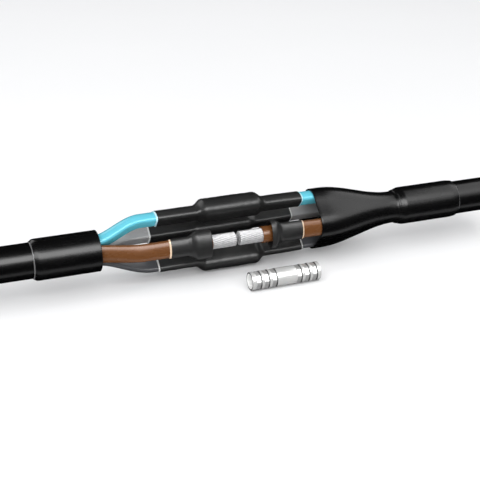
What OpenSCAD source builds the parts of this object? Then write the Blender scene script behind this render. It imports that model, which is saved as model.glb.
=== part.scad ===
// Heat-shrink straight joint for a four-core low-voltage cable, shown with its middle cut open.
// The cable runs along X. The part lies on its bottom core and on the loose connector at Z = 0.

/* [Cable] */
// Radius of an insulated core, from its inner edge to its round outside
core_r = 16.5; // [15:0.1:20]
// Rounding of the two outer edges of a core
core_edge_r = 3; // [2:0.1:4.5]
// Rounding of the inner edge of a core
core_tip_r = 2; // [1.6:0.1:3.5]
// Thickness of the core insulation
insulation = 1.2; // [0.8:0.1:1.5]
// Thickness of the inner covering round the four cores
bedding_wall = 0.45; // [0.3:0.05:1.5]
// Thickness of the outer sheath
sheath_wall = 2.6; // [1:0.1:4]
// Sawn end of the left cable, from the middle of the joint
cable_left = 300; // [250:5:600]
// Sawn end of the right cable, from the middle of the joint
cable_right = 340; // [310:5:600]
// Turn of the four cores about the cable axis
bundle_turn = 1.5; // [0:0.5:6]

/* [Conductors] */
// Diameter of a conductor where it is pressed round
conductor_d = 16.2; // [13:0.1:17]
// Wires in the outer layer of a conductor
outer_wires = 18; // [12:1:24]
// Turn of the outer wires along 100 mm of conductor, in degrees
wire_turn = 400; // [60:5:480]
// Bare length of the left front conductor
front_bare_left = 29; // [15:1:34]
// Bare length of the right front conductor
front_bare_right = 28; // [15:1:34]
// Gap between the ends of the two front conductors
front_gap = 3.5; // [1:0.5:10]
// Middle of that gap, to the right of the middle of the joint
front_gap_x = 2; // [0:0.5:12]

/* [Spread of the cores] */
// Distance of a core's inner edge from the cable axis in the open middle
core_spread = 18; // [16:0.1:24]
// The same distance where the cores enter the right outer sleeve
mouth_spread = 17.5; // [12:0.1:18]
// Gap between the flat sides of neighbouring cores inside the cable
core_gap = 0.3; // [0.1:0.1:1]
// Length over which the front and back cores spread on the left
fan_length = 51; // [40:1:60]
// Length over which the top core spreads on the left
top_fan_length = 55; // [45:1:66]
// Length over which the bottom core spreads on the left
bottom_fan_length = 66; // [50:1:72]
// Place where the cores begin to close in on the right
lean_start = 60; // [58:1:80]
// Place where they close in faster
gather_start = 117; // [105:1:125]
// Place where they are a round bundle again
gather_end = 210; // [190:1:210]

/* [Connectors] */
// Outside diameter of a compression connector
connector_d = 21; // [19.6:0.1:24]
// Length of the long connector that lies in front
long_connector = 82; // [60:1:90]
// Length of the connectors inside the sleeves
short_connector = 60; // [50:1:70]
// Diametral clearance of a conductor in its connector
bore_play = 0.4; // [0.2:0.1:1]
// Width of one crimped band
band_w = 7; // [5:0.5:9]
// Round ridge left between two crimped bands
band_ridge = 2.3; // [1:0.1:4]
// Plain end of a connector outside its first crimp
connector_lip = 4; // [2:0.5:8]
// Depth of a crimp's flats below the round barrel
crimp_depth = 0.7; // [0.3:0.1:1.1]
// Height of the stop in the middle of the bore
stop_h = 1.5; // [0.5:0.1:3]
// Thickness of that stop
stop_w = 1.5; // [1:0.1:3]
// Middle of the top connector, to the right of the middle of the joint
top_connector_x = 4; // [-4:0.5:8]
// Middle of the bottom connector
bottom_connector_x = 1; // [-4:0.5:8]
// Middle of the back connector
back_connector_x = 3; // [-4:0.5:8]
// Distance of the loose connector in front of the cable axis
loose_y = 75.2; // [62:0.2:120]
// Left end of the loose connector, from the middle of the joint
loose_x = -0.4; // [-40:0.2:60]

/* [Inner sleeves] */
// Wall of an inner sleeve
inner_wall = 1.2; // [0.8:0.1:2]
// Radius of the round outside of a sleeve's swelling
swell_r = 26.2; // [22:0.1:30]
// Room between a connector and the round outside of its sleeve's swelling
swell_room = 2.25; // [0.3:0.05:3]
// Rounding of the outer edges of the swelling
swell_edge_r = 7; // [4:0.5:9]
// Rounding of the inner edge of the swelling
swell_tip_r = 6; // [3:0.5:9]
// Length of a sleeve's shoulder, from core to swelling
shoulder = 11; // [8:0.5:14]
// Left end of the top sleeve, from the middle of the joint
top_sleeve_left = 84; // [60:1:95]
// Right end of the top sleeve
top_sleeve_right = 90; // [60:1:94]
// Left end of the front sleeve
front_sleeve_left = 77; // [66:1:90]
// Right end of the front sleeve
front_sleeve_right = 81; // [72:1:94]
// Left end of the bottom sleeve
bottom_sleeve_left = 84; // [60:1:90]
// Right end of the bottom sleeve
bottom_sleeve_right = 90; // [60:1:94]
// Left end of the back sleeve
back_sleeve_left = 85; // [60:1:95]
// Right end of the back sleeve
back_sleeve_right = 89; // [60:1:94]
// Length of the front sleeve's swelling between its shoulders
front_swell = 92; // [84:1:98]
// Middle of that swelling
front_swell_x = -0.5; // [-3:0.5:8]
// Cut edge of the front sleeve's left piece
front_cut_left = 31; // [15:1:35]
// Cut edge of the front sleeve's right piece
front_cut_right = 41; // [36:1:48]

/* [Outer sleeve] */
// Wall of the left piece
left_wall = 3.1; // [1.5:0.1:4]
// Wall of the right piece where it lies on the cable sheath
right_wall = 2.2; // [1.5:0.1:4]
// Wall of the right piece over the cores
stretched_wall = 2; // [1:0.1:3]
// Outer end of the left piece
outer_left_end = 226; // [205:1:245]
// Cut edge of the left piece, where the cores come out
outer_left_cut = 152; // [148:1:155]
// End of the left cable's sheath
sheath_end_left = 157; // [156:1:170]
// Cut edge of the right piece
outer_right_cut = 105; // [99:1:108]
// End of the right cable's sheath
sheath_end_right = 216; // [212:1:230]
// Outer end of the right piece
outer_right_end = 294; // [260:1:305]
// Length of the thinned rim at the left outer end
left_rim = 4; // [2:0.5:12]
// Length of the thinned rim at the right outer end
right_rim = 7; // [3:0.5:12]
// Thickness left at such a rim
rim_wall = 1.4; // [0.8:0.1:1.5]
// Part of the right piece's step that lies before the end of the sheath
step_before = 5; // [4:0.5:8]
// Part of that step that lies on the sheath
step_after = 8; // [4:0.5:16]

/* [Adhesive] */
// Width of the adhesive squeezed out at a sleeve's end
bead_w = 2; // [1:0.1:4]
// Height of that adhesive above the core or the cable
bead_h = 1.2; // [0.6:0.1:2]

/* [Fits] */
// Clearance between pieces that lie on each other
fit = 0.15; // [0.1:0.05:0.25]

/* [Hidden] */

// Cores by place: top, front, bottom, back, each a quarter turn on from the last
TOP = 0;
FRONT = 1;
BOTTOM = 2;
BACK = 3;
LEFT = -1;
RIGHT = 1;

// Facets
arc_steps = 6;
edge_steps = 2;
tip_steps = 2;
fan_steps = 5;
gather_steps = 6;
lean_steps = 2;
shoulder_steps = 3;
round_fn = 96;
grip = 1;

// Cable layers, from the middle outwards
tip_gap = core_gap / sqrt(2);
bundle_r = tip_gap + core_r;
bedding_ri = bundle_r + fit;
bedding_ro = bedding_ri + bedding_wall;
sheath_ri = bedding_ro + fit;
cable_r = sheath_ri + sheath_wall;

// A core's section is a quarter circle; its centroid is the line that a conductor follows
core_mid = core_r * 4 * sqrt(2) / (3 * PI);
conductor_r = conductor_d / 2;
connector_r = connector_d / 2;
bore_r = conductor_r + bore_play / 2;
core_axis = core_spread + tip_gap + core_mid;

// Height of the cable axis: the bottom sleeve's swelling touches the ground
swell_tip = core_mid - connector_r * sqrt(2);
swell_arc = connector_r * (1 + sqrt(2)) + swell_room - swell_r;
swell_reach = core_axis + connector_r + swell_room + fit + inner_wall;
axis_z = swell_reach * cos(bundle_turn);
axis_y = (loose_y + connector_r - axis_z) / 2;
axis_x = (cable_left - cable_right) / 2;

// Easing from 0 to 1 without a corner
function ease(t) = let (c = min(1, max(0, t))) c * c * (3 - 2 * c);
function ease_slope(t) = t <= 0 || t >= 1 ? 0 : 6 * t * (1 - t);
function mix(a, b, t) = a + (b - a) * t;

// Distance of a core's inner edge from the cable axis at x, and how fast it grows
function fan_len(place) = [top_fan_length, fan_length, bottom_fan_length, fan_length][place];
fan_start = -sheath_end_left;
function spread_at(x, place) = x < 0
    ? tip_gap + core_spread * ease((x - fan_start) / fan_len(place))
    : tip_gap + core_spread
        - (core_spread - mouth_spread) * ease((x - lean_start) / (gather_start - lean_start))
        - mouth_spread * ease((x - gather_start) / (gather_end - gather_start));
function slope_at(x, place) = x < 0
    ? core_spread * ease_slope((x - fan_start) / fan_len(place)) / fan_len(place)
    : -(core_spread - mouth_spread) / (gather_start - lean_start)
            * ease_slope((x - lean_start) / (gather_start - lean_start))
        - mouth_spread / (gather_end - gather_start)
            * ease_slope((x - gather_start) / (gather_end - gather_start));

// Every piece on a core bends at the same stations, so that one never cuts into the next
function steps_between(a, b, n) = [for (i = [0:n]) mix(a, b, i / n)];
function bends(place) = concat(
    steps_between(fan_start, fan_start + fan_len(place), fan_steps),
    steps_between(lean_start, gather_start, lean_steps),
    [for (i = [1:gather_steps]) mix(gather_start, gather_end, i / gather_steps)]);
function spread_table(place) = concat([[-2 * cable_left, tip_gap]],
    [for (x = bends(place)) [x, spread_at(x, place)]], [[2 * cable_right, tip_gap]]);
function tilt_table(place) = concat([[-2 * cable_left, 0]],
    [for (x = bends(place)) [x, atan(slope_at(x, place))]], [[2 * cable_right, 0]]);

// Sorted stations between two ends, without any that lie too close together
function sorted(list) = len(list) <= 1 ? list
    : let (pivot = list[floor(len(list) / 2)])
        concat(sorted([for (v = list) if (v < pivot) v]), [pivot],
            sorted([for (v = list) if (v > pivot) v]));
function stations(from, to, marks) = concat([from],
    sorted([for (x = marks) if (x > from + grip && x < to - grip) x]), [to]);

// Form of a section: inner edge's shift, radius, edge rounding, inner rounding, roundness,
// and how far the centre of the round outside lies from the inner edge
CORE = [0, core_r, core_edge_r, core_tip_r, 0, 0];
ROUND = [0, core_r, core_edge_r, core_tip_r, 1, 0];
SWELL = [swell_tip, swell_r, swell_edge_r, swell_tip_r, 0, swell_arc];
insulated_r = conductor_r + fit + insulation;

// Arcs of a rounded quarter circle, each point as centre v, centre u, radius and direction
function sector_arcs(form) =
    let (r = form[1], er = form[2], tr = form[3], middle = form[5],
        lean = 45 - asin((er - middle / sqrt(2)) / (r - er)),
        ev = middle + (r - er) * cos(lean), eu = (r - er) * sin(lean))
    concat(
        [for (i = [0:arc_steps]) [middle, 0, r, mix(-lean, lean, i / arc_steps)]],
        [for (i = [1:edge_steps]) [ev, eu, er, mix(lean, 135, i / edge_steps)]],
        [for (i = [0:tip_steps]) [tr * sqrt(2), 0, tr, mix(135, 225, i / tip_steps)]],
        [for (i = [0:edge_steps - 1]) [ev, -eu, er, mix(225, 360 - lean, i / edge_steps)]]);
points = arc_steps + 2 * edge_steps + tip_steps + 2;
function round_arc(k) = [core_mid, 0, insulated_r, 360 * (k - arc_steps / 2) / points];

// One section's points, grown outwards by g, as distances from the conductor's line
function section(form, g) = [for (k = [0:points - 1])
    let (arc = mix(sector_arcs(form)[k], round_arc(k), form[4]))
        [form[0] + arc[0] - core_mid + (arc[2] + g) * cos(arc[3]),
            arc[1] + (arc[2] + g) * sin(arc[3])]];

// The same section stood on the core's path at x
function ring(x, place, form, g) =
    let (tilt = lookup(x, tilt_table(place)), away = lookup(x, spread_table(place)) + core_mid)
    [for (p = section(form, g)) [x - p[0] * sin(tilt), p[1], away + p[0] * cos(tilt)]];

// Skin over rings of equal length: a solid with end faces, or a closed tube wall.
// A wall's inside runs back to its start, and its facets are split the same way as its outside's.
module skin(rings, closed = false) {
    n = len(rings[0]);
    count = len(rings);
    sides = [for (i = [0:count - (closed ? 1 : 2)], k = [0:n - 1])
        let (a = i * n + k, b = i * n + (k + 1) % n,
            c = ((i + 1) % count) * n + k, d = ((i + 1) % count) * n + (k + 1) % n,
            onward = rings[i][0][0] <= rings[(i + 1) % count][0][0])
        each onward ? [[a, b, c], [b, d, c]] : [[a, b, d], [a, d, c]]];
    caps = closed ? [] : [[for (k = [n - 1:-1:0]) k], [for (k = [0:n - 1]) (count - 1) * n + k]];
    polyhedron(points = [for (r = rings) each r], faces = concat(sides, caps), convexity = 6);
}

// Stands a piece at its place round the cable axis, in the part's own frame
module at_place(place) {
    on_axis() rotate([90 * place - bundle_turn, 0, 0]) children();
}
module on_axis() {
    translate([axis_x, axis_y, axis_z]) children();
}

// Round tube along X between two stations
module tube_x(from, to, outer_r, inner_r) {
    translate([from, 0, 0]) rotate([0, 90, 0]) difference() {
        cylinder(h = to - from, r = outer_r, $fn = round_fn);
        translate([0, 0, -1]) cylinder(h = to - from + 2, r = inner_r, $fn = round_fn);
    }
}

// Ends of the inner sleeves by place
inner_ends = [
    [-top_sleeve_left, top_sleeve_right], [-front_sleeve_left, front_sleeve_right],
    [-bottom_sleeve_left, bottom_sleeve_right], [-back_sleeve_left, back_sleeve_right]
];

// Where each core turns from a quarter circle to a round, beside its connector
function connector_x(place) = [top_connector_x, front_gap_x, bottom_connector_x, back_connector_x][place];
function swell_middle(place) = place == FRONT ? front_swell_x : connector_x(place);
function swell_half(place) = (place == FRONT ? front_swell : short_connector + 1) / 2;
function swell_edge(place, side) = swell_middle(place) + side * swell_half(place);
function shoulder_marks(place, side) = [for (i = [0:shoulder_steps])
    swell_edge(place, side) + side * shoulder * i / shoulder_steps];
// 0 on the plain core, 1 from the swelling inwards
function swelling(x, place) = ease(1 - max(0, abs(x - swell_middle(place)) - swell_half(place)) / shoulder);

function core_form(x, place) = mix(CORE, ROUND, swelling(x, place));
function sleeve_form(x, place) = mix(CORE, SWELL, swelling(x, place));
function path_marks(place) = concat(bends(place), shoulder_marks(place, LEFT), shoulder_marks(place, RIGHT));

// Ends of the insulation and of the conductor next to the middle
function bare_length(place, side) = place == FRONT
    ? front_gap / 2 + (side == LEFT ? front_bare_left : front_bare_right)
    : short_connector / 2 + fit;
function insulation_end(place, side) = connector_x(place) + side * bare_length(place, side);
function conductor_end(place, side) =
    connector_x(place) + side * (place == FRONT ? front_gap / 2 : stop_w / 2 + fit);

// Stations from the sawn cable end to an end near the middle, in rising order
function run(place, side, inner) = side == LEFT
    ? stations(-cable_left, inner, path_marks(place))
    : stations(inner, cable_right, path_marks(place));

// Insulation of a core: a wall of even thickness that follows the core's form
module insulation_wall(place, side) {
    xs = run(place, side, insulation_end(place, side));
    outer = [for (x = xs) ring(x, place, core_form(x, place), 0)];
    inner = [for (i = [len(xs) - 1:-1:0]) ring(xs[i], place, core_form(xs[i], place), -insulation)];
    at_place(place) skin(concat(outer, inner), closed = true);
}

// Stranded conductor: a solid of the core's form, round and bare at its inner end
module stranded_conductor(place, side) {
    bare_from = insulation_end(place, side);
    bare_to = conductor_end(place, side);
    covered = run(place, side, place == FRONT ? bare_from : bare_to);
    at_place(place) {
        skin([for (x = covered) ring(x, place, core_form(x, place), -insulation - fit)]);
        if (place == FRONT)
            translate([min(bare_from, bare_to), 0, core_axis]) bare_strands(abs(bare_to - bare_from));
    }
}

// Bare wires of a conductor, laid up in a helix
module bare_strands(length) {
    wire_r = conductor_r * sin(180 / outer_wires) / (1 + sin(180 / outer_wires));
    pitch_r = conductor_r - wire_r;
    valley_r = pitch_r * cos(180 / outer_wires) + wire_r * 0.1;
    flank_r = pitch_r + wire_r * 0.85;
    crown = [for (i = [0:outer_wires - 1], part = [0:2])
        let (at = 360 * (i + [0, 0.3, 0.7][part]) / outer_wires,
            r = part == 0 ? valley_r : flank_r)
        [r * cos(at), r * sin(at)]];
    rotate([0, 90, 0])
        linear_extrude(height = length, twist = -wire_turn * length / 100, slices = 6)
            polygon(crown);
}

// Compression connector with crimped bands, its left end at the origin, along X
module connector_barrel(length, bands) {
    half = length / 2;
    rotate([0, 90, 0]) difference() {
        cylinder(h = length, r = connector_r, $fn = round_fn);
        bore_from_end(half);
        translate([0, 0, length]) mirror([0, 0, 1]) bore_from_end(half);
        translate([0, 0, half]) cylinder(h = length, r = bore_r - stop_h, center = true, $fn = round_fn);
        for (end = [0, 1], i = [0:bands - 1]) {
            near = connector_lip + i * (band_w + band_ridge);
            translate([0, 0, end == 0 ? near : length - near - band_w]) crimp_cut();
        }
    }
}

// Bore from one end of a connector up to the stop in its middle
module bore_from_end(half) {
    translate([0, 0, -1]) cylinder(h = half - stop_w / 2 + 1, r = bore_r, $fn = round_fn);
}

// What a hexagonal die presses away from one band of the barrel
module crimp_cut() {
    flat_r = connector_r - crimp_depth;
    difference() {
        cylinder(h = band_w, r = connector_r + 1, $fn = round_fn);
        translate([0, 0, -1]) rotate([0, 0, 30]) cylinder(h = band_w + 2, r = flat_r / cos(30), $fn = 6);
    }
}

module crimped_connector(place) {
    at_place(place) translate([connector_x(place) - short_connector / 2, 0, core_axis])
        connector_barrel(short_connector, 2);
}

// Inner sleeve between two stations, shrunk on its core and swollen over the connector
module inner_sleeve_wall(place, from, to) {
    xs = stations(from, to, path_marks(place));
    outer = [for (x = xs) ring(x, place, sleeve_form(x, place), fit + inner_wall)];
    inner = [for (i = [len(xs) - 1:-1:0]) ring(xs[i], place, sleeve_form(xs[i], place), fit)];
    at_place(place) skin(concat(outer, inner), closed = true);
}
module whole_inner_sleeve(place) {
    inner_sleeve_wall(place, inner_ends[place][0], inner_ends[place][1]);
}

// Adhesive squeezed out at an inner sleeve's end, a rounded ring round the core
module core_bead(place, side) {
    end = inner_ends[place][side == LEFT ? 0 : 1];
    profile = [[0, fit], [0, bead_h], [1, fit + bead_h * 0.2]];
    turned = side == RIGHT ? profile : [for (i = [len(profile) - 1:-1:0]) profile[i]];
    at_place(place) skin([for (p = turned) ring(end + side * p[0] * bead_w, place, CORE, p[1])],
        closed = true);
}

// Ring of adhesive round the cable sheath at an outer end of the outer sleeve
module cable_bead(side) {
    end = side == LEFT ? -outer_left_end : outer_right_end;
    inner = cable_r + fit;
    on_axis() translate([end, 0, 0]) rotate([0, side * 90, 0]) rotate_extrude($fn = round_fn)
        polygon([[inner, 0], [cable_r + bead_h, 0], [cable_r + bead_h * 0.9, bead_w * 0.6], [inner, bead_w]]);
}

// Sleeve section over four spread cores: a square on its corner, grown to the cores' radius
function bundle_ring(x, spread, r) = [for (corner = [0:3], i = [0:arc_steps])
    let (dir = 90 * corner + mix(-45, 45, i / arc_steps))
    [x, -spread * sin(90 * corner) - r * sin(dir), spread * cos(90 * corner) + r * cos(dir)]];

// Right piece of the outer sleeve: it bridges the cores, necks in and steps up on the sheath
module outer_sleeve_right_wall() {
    facet = cos(45 / arc_steps);
    neck_x = sheath_end_right - step_before;
    on_sheath = (cable_r + fit) / facet;
    xs = stations(outer_right_cut, neck_x, bends(TOP));
    inner_run = concat(
        [for (x = xs) [x, core_r * sqrt(1 + pow(slope_at(x, TOP), 2)) + 2 * fit]],
        [[sheath_end_right - fit, on_sheath], [outer_right_end, on_sheath]]);
    outer_run = concat(
        [for (x = xs) [x, core_r + 2 * fit + stretched_wall]],
        [[sheath_end_right + step_after * 0.4, on_sheath + right_wall * 0.92],
            [sheath_end_right + step_after, on_sheath + right_wall],
            [outer_right_end - right_rim, on_sheath + right_wall],
            [outer_right_end, on_sheath + rim_wall]]);
    outer = [for (s = outer_run) bundle_ring(s[0], lookup(s[0], spread_table(TOP)), s[1])];
    inner = [for (i = [len(inner_run) - 1:-1:0])
        bundle_ring(inner_run[i][0], lookup(inner_run[i][0], spread_table(TOP)), inner_run[i][1])];
    at_place(TOP) skin(concat(outer, inner), closed = true);
}

// Left piece of the outer sleeve: a round tube with a thinned rim at its outer end
module outer_sleeve_left_wall() {
    inner = cable_r + fit;
    length = outer_left_end - outer_left_cut;
    on_axis() translate([-outer_left_end, 0, 0]) rotate([0, 90, 0]) rotate_extrude($fn = round_fn)
        polygon([[inner, 0], [inner + rim_wall, 0], [inner + left_wall, left_rim],
            [inner + left_wall, length], [inner, length]]);
}

// Cable layers outside the cores, on one side
module cable_layer(side, outer_r, inner_r) {
    on_axis() tube_x(side == LEFT ? -cable_left : sheath_end_right,
        side == LEFT ? -sheath_end_left : cable_right, outer_r, inner_r);
}

// Named pieces
module cable_sheath(side) { color("#141414") cable_layer(side, cable_r, sheath_ri); }
module cable_bedding(side) { color("#5a5a58") cable_layer(side, bedding_ro, bedding_ri); }
module blue_core(side) { color("#4aaed0") insulation_wall(TOP, side); }
module brown_core(side) { color("#7a4a2a") insulation_wall(FRONT, side); }
module black_core(side) { color("#3c3e42") insulation_wall(BOTTOM, side); }
module grey_core(side) { color("#98989a") insulation_wall(BACK, side); }
module conductor(place, side) { color("#d8d8d8") stranded_conductor(place, side); }
module inner_connector(place) { color("#e2e2e0") crimped_connector(place); }
module loose_connector() {
    color("#e2e2e0") translate([axis_x + loose_x, axis_y - loose_y, connector_r])
        connector_barrel(long_connector, 3);
}
module inner_sleeve(place) { color("#303030") whole_inner_sleeve(place); }
module front_sleeve_left() {
    color("#303030") inner_sleeve_wall(FRONT, inner_ends[FRONT][0], -front_cut_left);
}
module front_sleeve_right() {
    color("#303030") inner_sleeve_wall(FRONT, front_cut_right, inner_ends[FRONT][1]);
}
module outer_sleeve_left() { color("#1c1c1c") outer_sleeve_left_wall(); }
module outer_sleeve_right() { color("#1c1c1c") outer_sleeve_right_wall(); }
module bead(place, side) { color("#e8ddc8") core_bead(place, side); }
module outer_bead(side) { color("#e8e8e8") cable_bead(side); }

cable_sheath(LEFT);  // cable_sheath_left
cable_sheath(RIGHT);  // cable_sheath_right
cable_bedding(LEFT);  // cable_bedding_left
cable_bedding(RIGHT);  // cable_bedding_right
blue_core(LEFT);  // blue_core_left
blue_core(RIGHT);  // blue_core_right
brown_core(LEFT);  // brown_core_left
brown_core(RIGHT);  // brown_core_right
black_core(LEFT);  // black_core_left
black_core(RIGHT);  // black_core_right
grey_core(LEFT);  // grey_core_left
grey_core(RIGHT);  // grey_core_right
conductor(TOP, LEFT);  // blue_conductor_left
conductor(TOP, RIGHT);  // blue_conductor_right
conductor(FRONT, LEFT);  // brown_conductor_left
conductor(FRONT, RIGHT);  // brown_conductor_right
conductor(BOTTOM, LEFT);  // black_conductor_left
conductor(BOTTOM, RIGHT);  // black_conductor_right
conductor(BACK, LEFT);  // grey_conductor_left
conductor(BACK, RIGHT);  // grey_conductor_right
inner_connector(TOP);  // blue_connector
inner_connector(BOTTOM);  // black_connector
inner_connector(BACK);  // grey_connector
loose_connector();  // brown_connector
inner_sleeve(TOP);  // blue_inner_sleeve
inner_sleeve(BOTTOM);  // black_inner_sleeve
inner_sleeve(BACK);  // grey_inner_sleeve
front_sleeve_left();  // brown_inner_sleeve_left
front_sleeve_right();  // brown_inner_sleeve_right
outer_sleeve_left();
outer_sleeve_right();
bead(TOP, LEFT);  // blue_bead_left
bead(TOP, RIGHT);  // blue_bead_right
bead(FRONT, LEFT);  // brown_bead_left
bead(FRONT, RIGHT);  // brown_bead_right
bead(BOTTOM, LEFT);  // black_bead_left
bead(BOTTOM, RIGHT);  // black_bead_right
bead(BACK, LEFT);  // grey_bead_left
bead(BACK, RIGHT);  // grey_bead_right
outer_bead(LEFT);  // outer_bead_left
outer_bead(RIGHT);  // outer_bead_right
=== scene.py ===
"""Heat-shrink straight joint for a four-core low-voltage cable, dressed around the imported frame.

Sizes are in millimetres in the joint's own coordinates: X runs along the cable with 0 in the
middle of the joint, and the cable's axis is the line y = z = 0. A mesh is moved to the frame's
place and turned to metres when it is made.
"""

import logging
import math
from collections.abc import Callable, Sequence
from dataclasses import dataclass
from enum import Enum

import bmesh
import bpy
import numpy as np
from mathutils import Matrix, Vector, noise

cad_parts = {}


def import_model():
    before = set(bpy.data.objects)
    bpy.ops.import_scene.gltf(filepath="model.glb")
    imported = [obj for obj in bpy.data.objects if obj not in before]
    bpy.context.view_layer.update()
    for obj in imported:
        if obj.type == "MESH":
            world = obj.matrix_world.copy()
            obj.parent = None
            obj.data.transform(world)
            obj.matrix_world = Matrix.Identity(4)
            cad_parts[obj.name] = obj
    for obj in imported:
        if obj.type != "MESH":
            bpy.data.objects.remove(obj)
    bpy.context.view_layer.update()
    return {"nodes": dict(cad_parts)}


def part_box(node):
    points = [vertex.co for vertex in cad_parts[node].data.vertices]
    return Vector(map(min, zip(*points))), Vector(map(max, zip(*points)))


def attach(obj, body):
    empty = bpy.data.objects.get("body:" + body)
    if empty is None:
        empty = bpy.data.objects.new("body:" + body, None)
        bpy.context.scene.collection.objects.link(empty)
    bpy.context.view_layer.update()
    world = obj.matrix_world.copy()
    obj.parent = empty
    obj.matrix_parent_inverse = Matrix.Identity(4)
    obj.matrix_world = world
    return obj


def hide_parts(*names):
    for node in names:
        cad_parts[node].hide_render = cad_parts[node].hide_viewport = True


LOG = logging.getLogger("cable_joint")
MM = 0.001
ROOT = "root"

# How much longer than wanted the last step of a row of stations may be
LAST_STEP = 1.3
# How far from a wall's end its straight lines stop, in radii of the rounded corner
CORNER_ROOM = 1.5

Rgb = tuple[float, float, float]
Span = tuple[float, float]
Profile = list[Span]
Curve = tuple[Span, ...]


class Place(Enum):
    """Where a core lies round the cable's axis; the value counts quarter turns from the top."""

    TOP = 0
    FRONT = 1
    BOTTOM = 2
    BACK = 3


class Side(Enum):
    """Which end of the joint a piece belongs to; the value is its sign along X."""

    LEFT = -1
    RIGHT = 1


class Wear(Enum):
    """How each face of the loose connector is coloured, three of the ways with painted shade or painted
    light; the value is the place of its material on the piece.
    """

    PLAIN = 0
    CRIMPED = 1
    EDGE = 2
    BORE = 3


CORE_NAMES = {Place.TOP: "blue", Place.FRONT: "brown", Place.BOTTOM: "black", Place.BACK: "grey"}


def mix(a: float, b: float, share: float) -> float:
    """Returns the value that lies the given share of the way from a to b."""
    return a + (b - a) * share


def ease(t: float) -> float:
    """Returns t held between 0 and 1 and rounded at both ends."""
    c = min(1.0, max(0.0, t))
    return c * c * (3 - 2 * c)


def ease_slope(t: float) -> float:
    """Returns how fast ease() grows at t."""
    return 6 * t * (1 - t) if 0 < t < 1 else 0.0


def spaced(start: float, end: float, step_at: Callable[[float], float]) -> list[float]:
    """Places stations between two ends.

    Args:
        start: first station.
        end: last station, to the right of the first.
        step_at: step wanted at a station.

    Returns:
        The stations in rising order, both ends among them.
    """
    found = [start]
    while found[-1] + LAST_STEP * step_at(found[-1]) < end:
        found.append(found[-1] + step_at(found[-1]))
    return found + [end]


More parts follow.
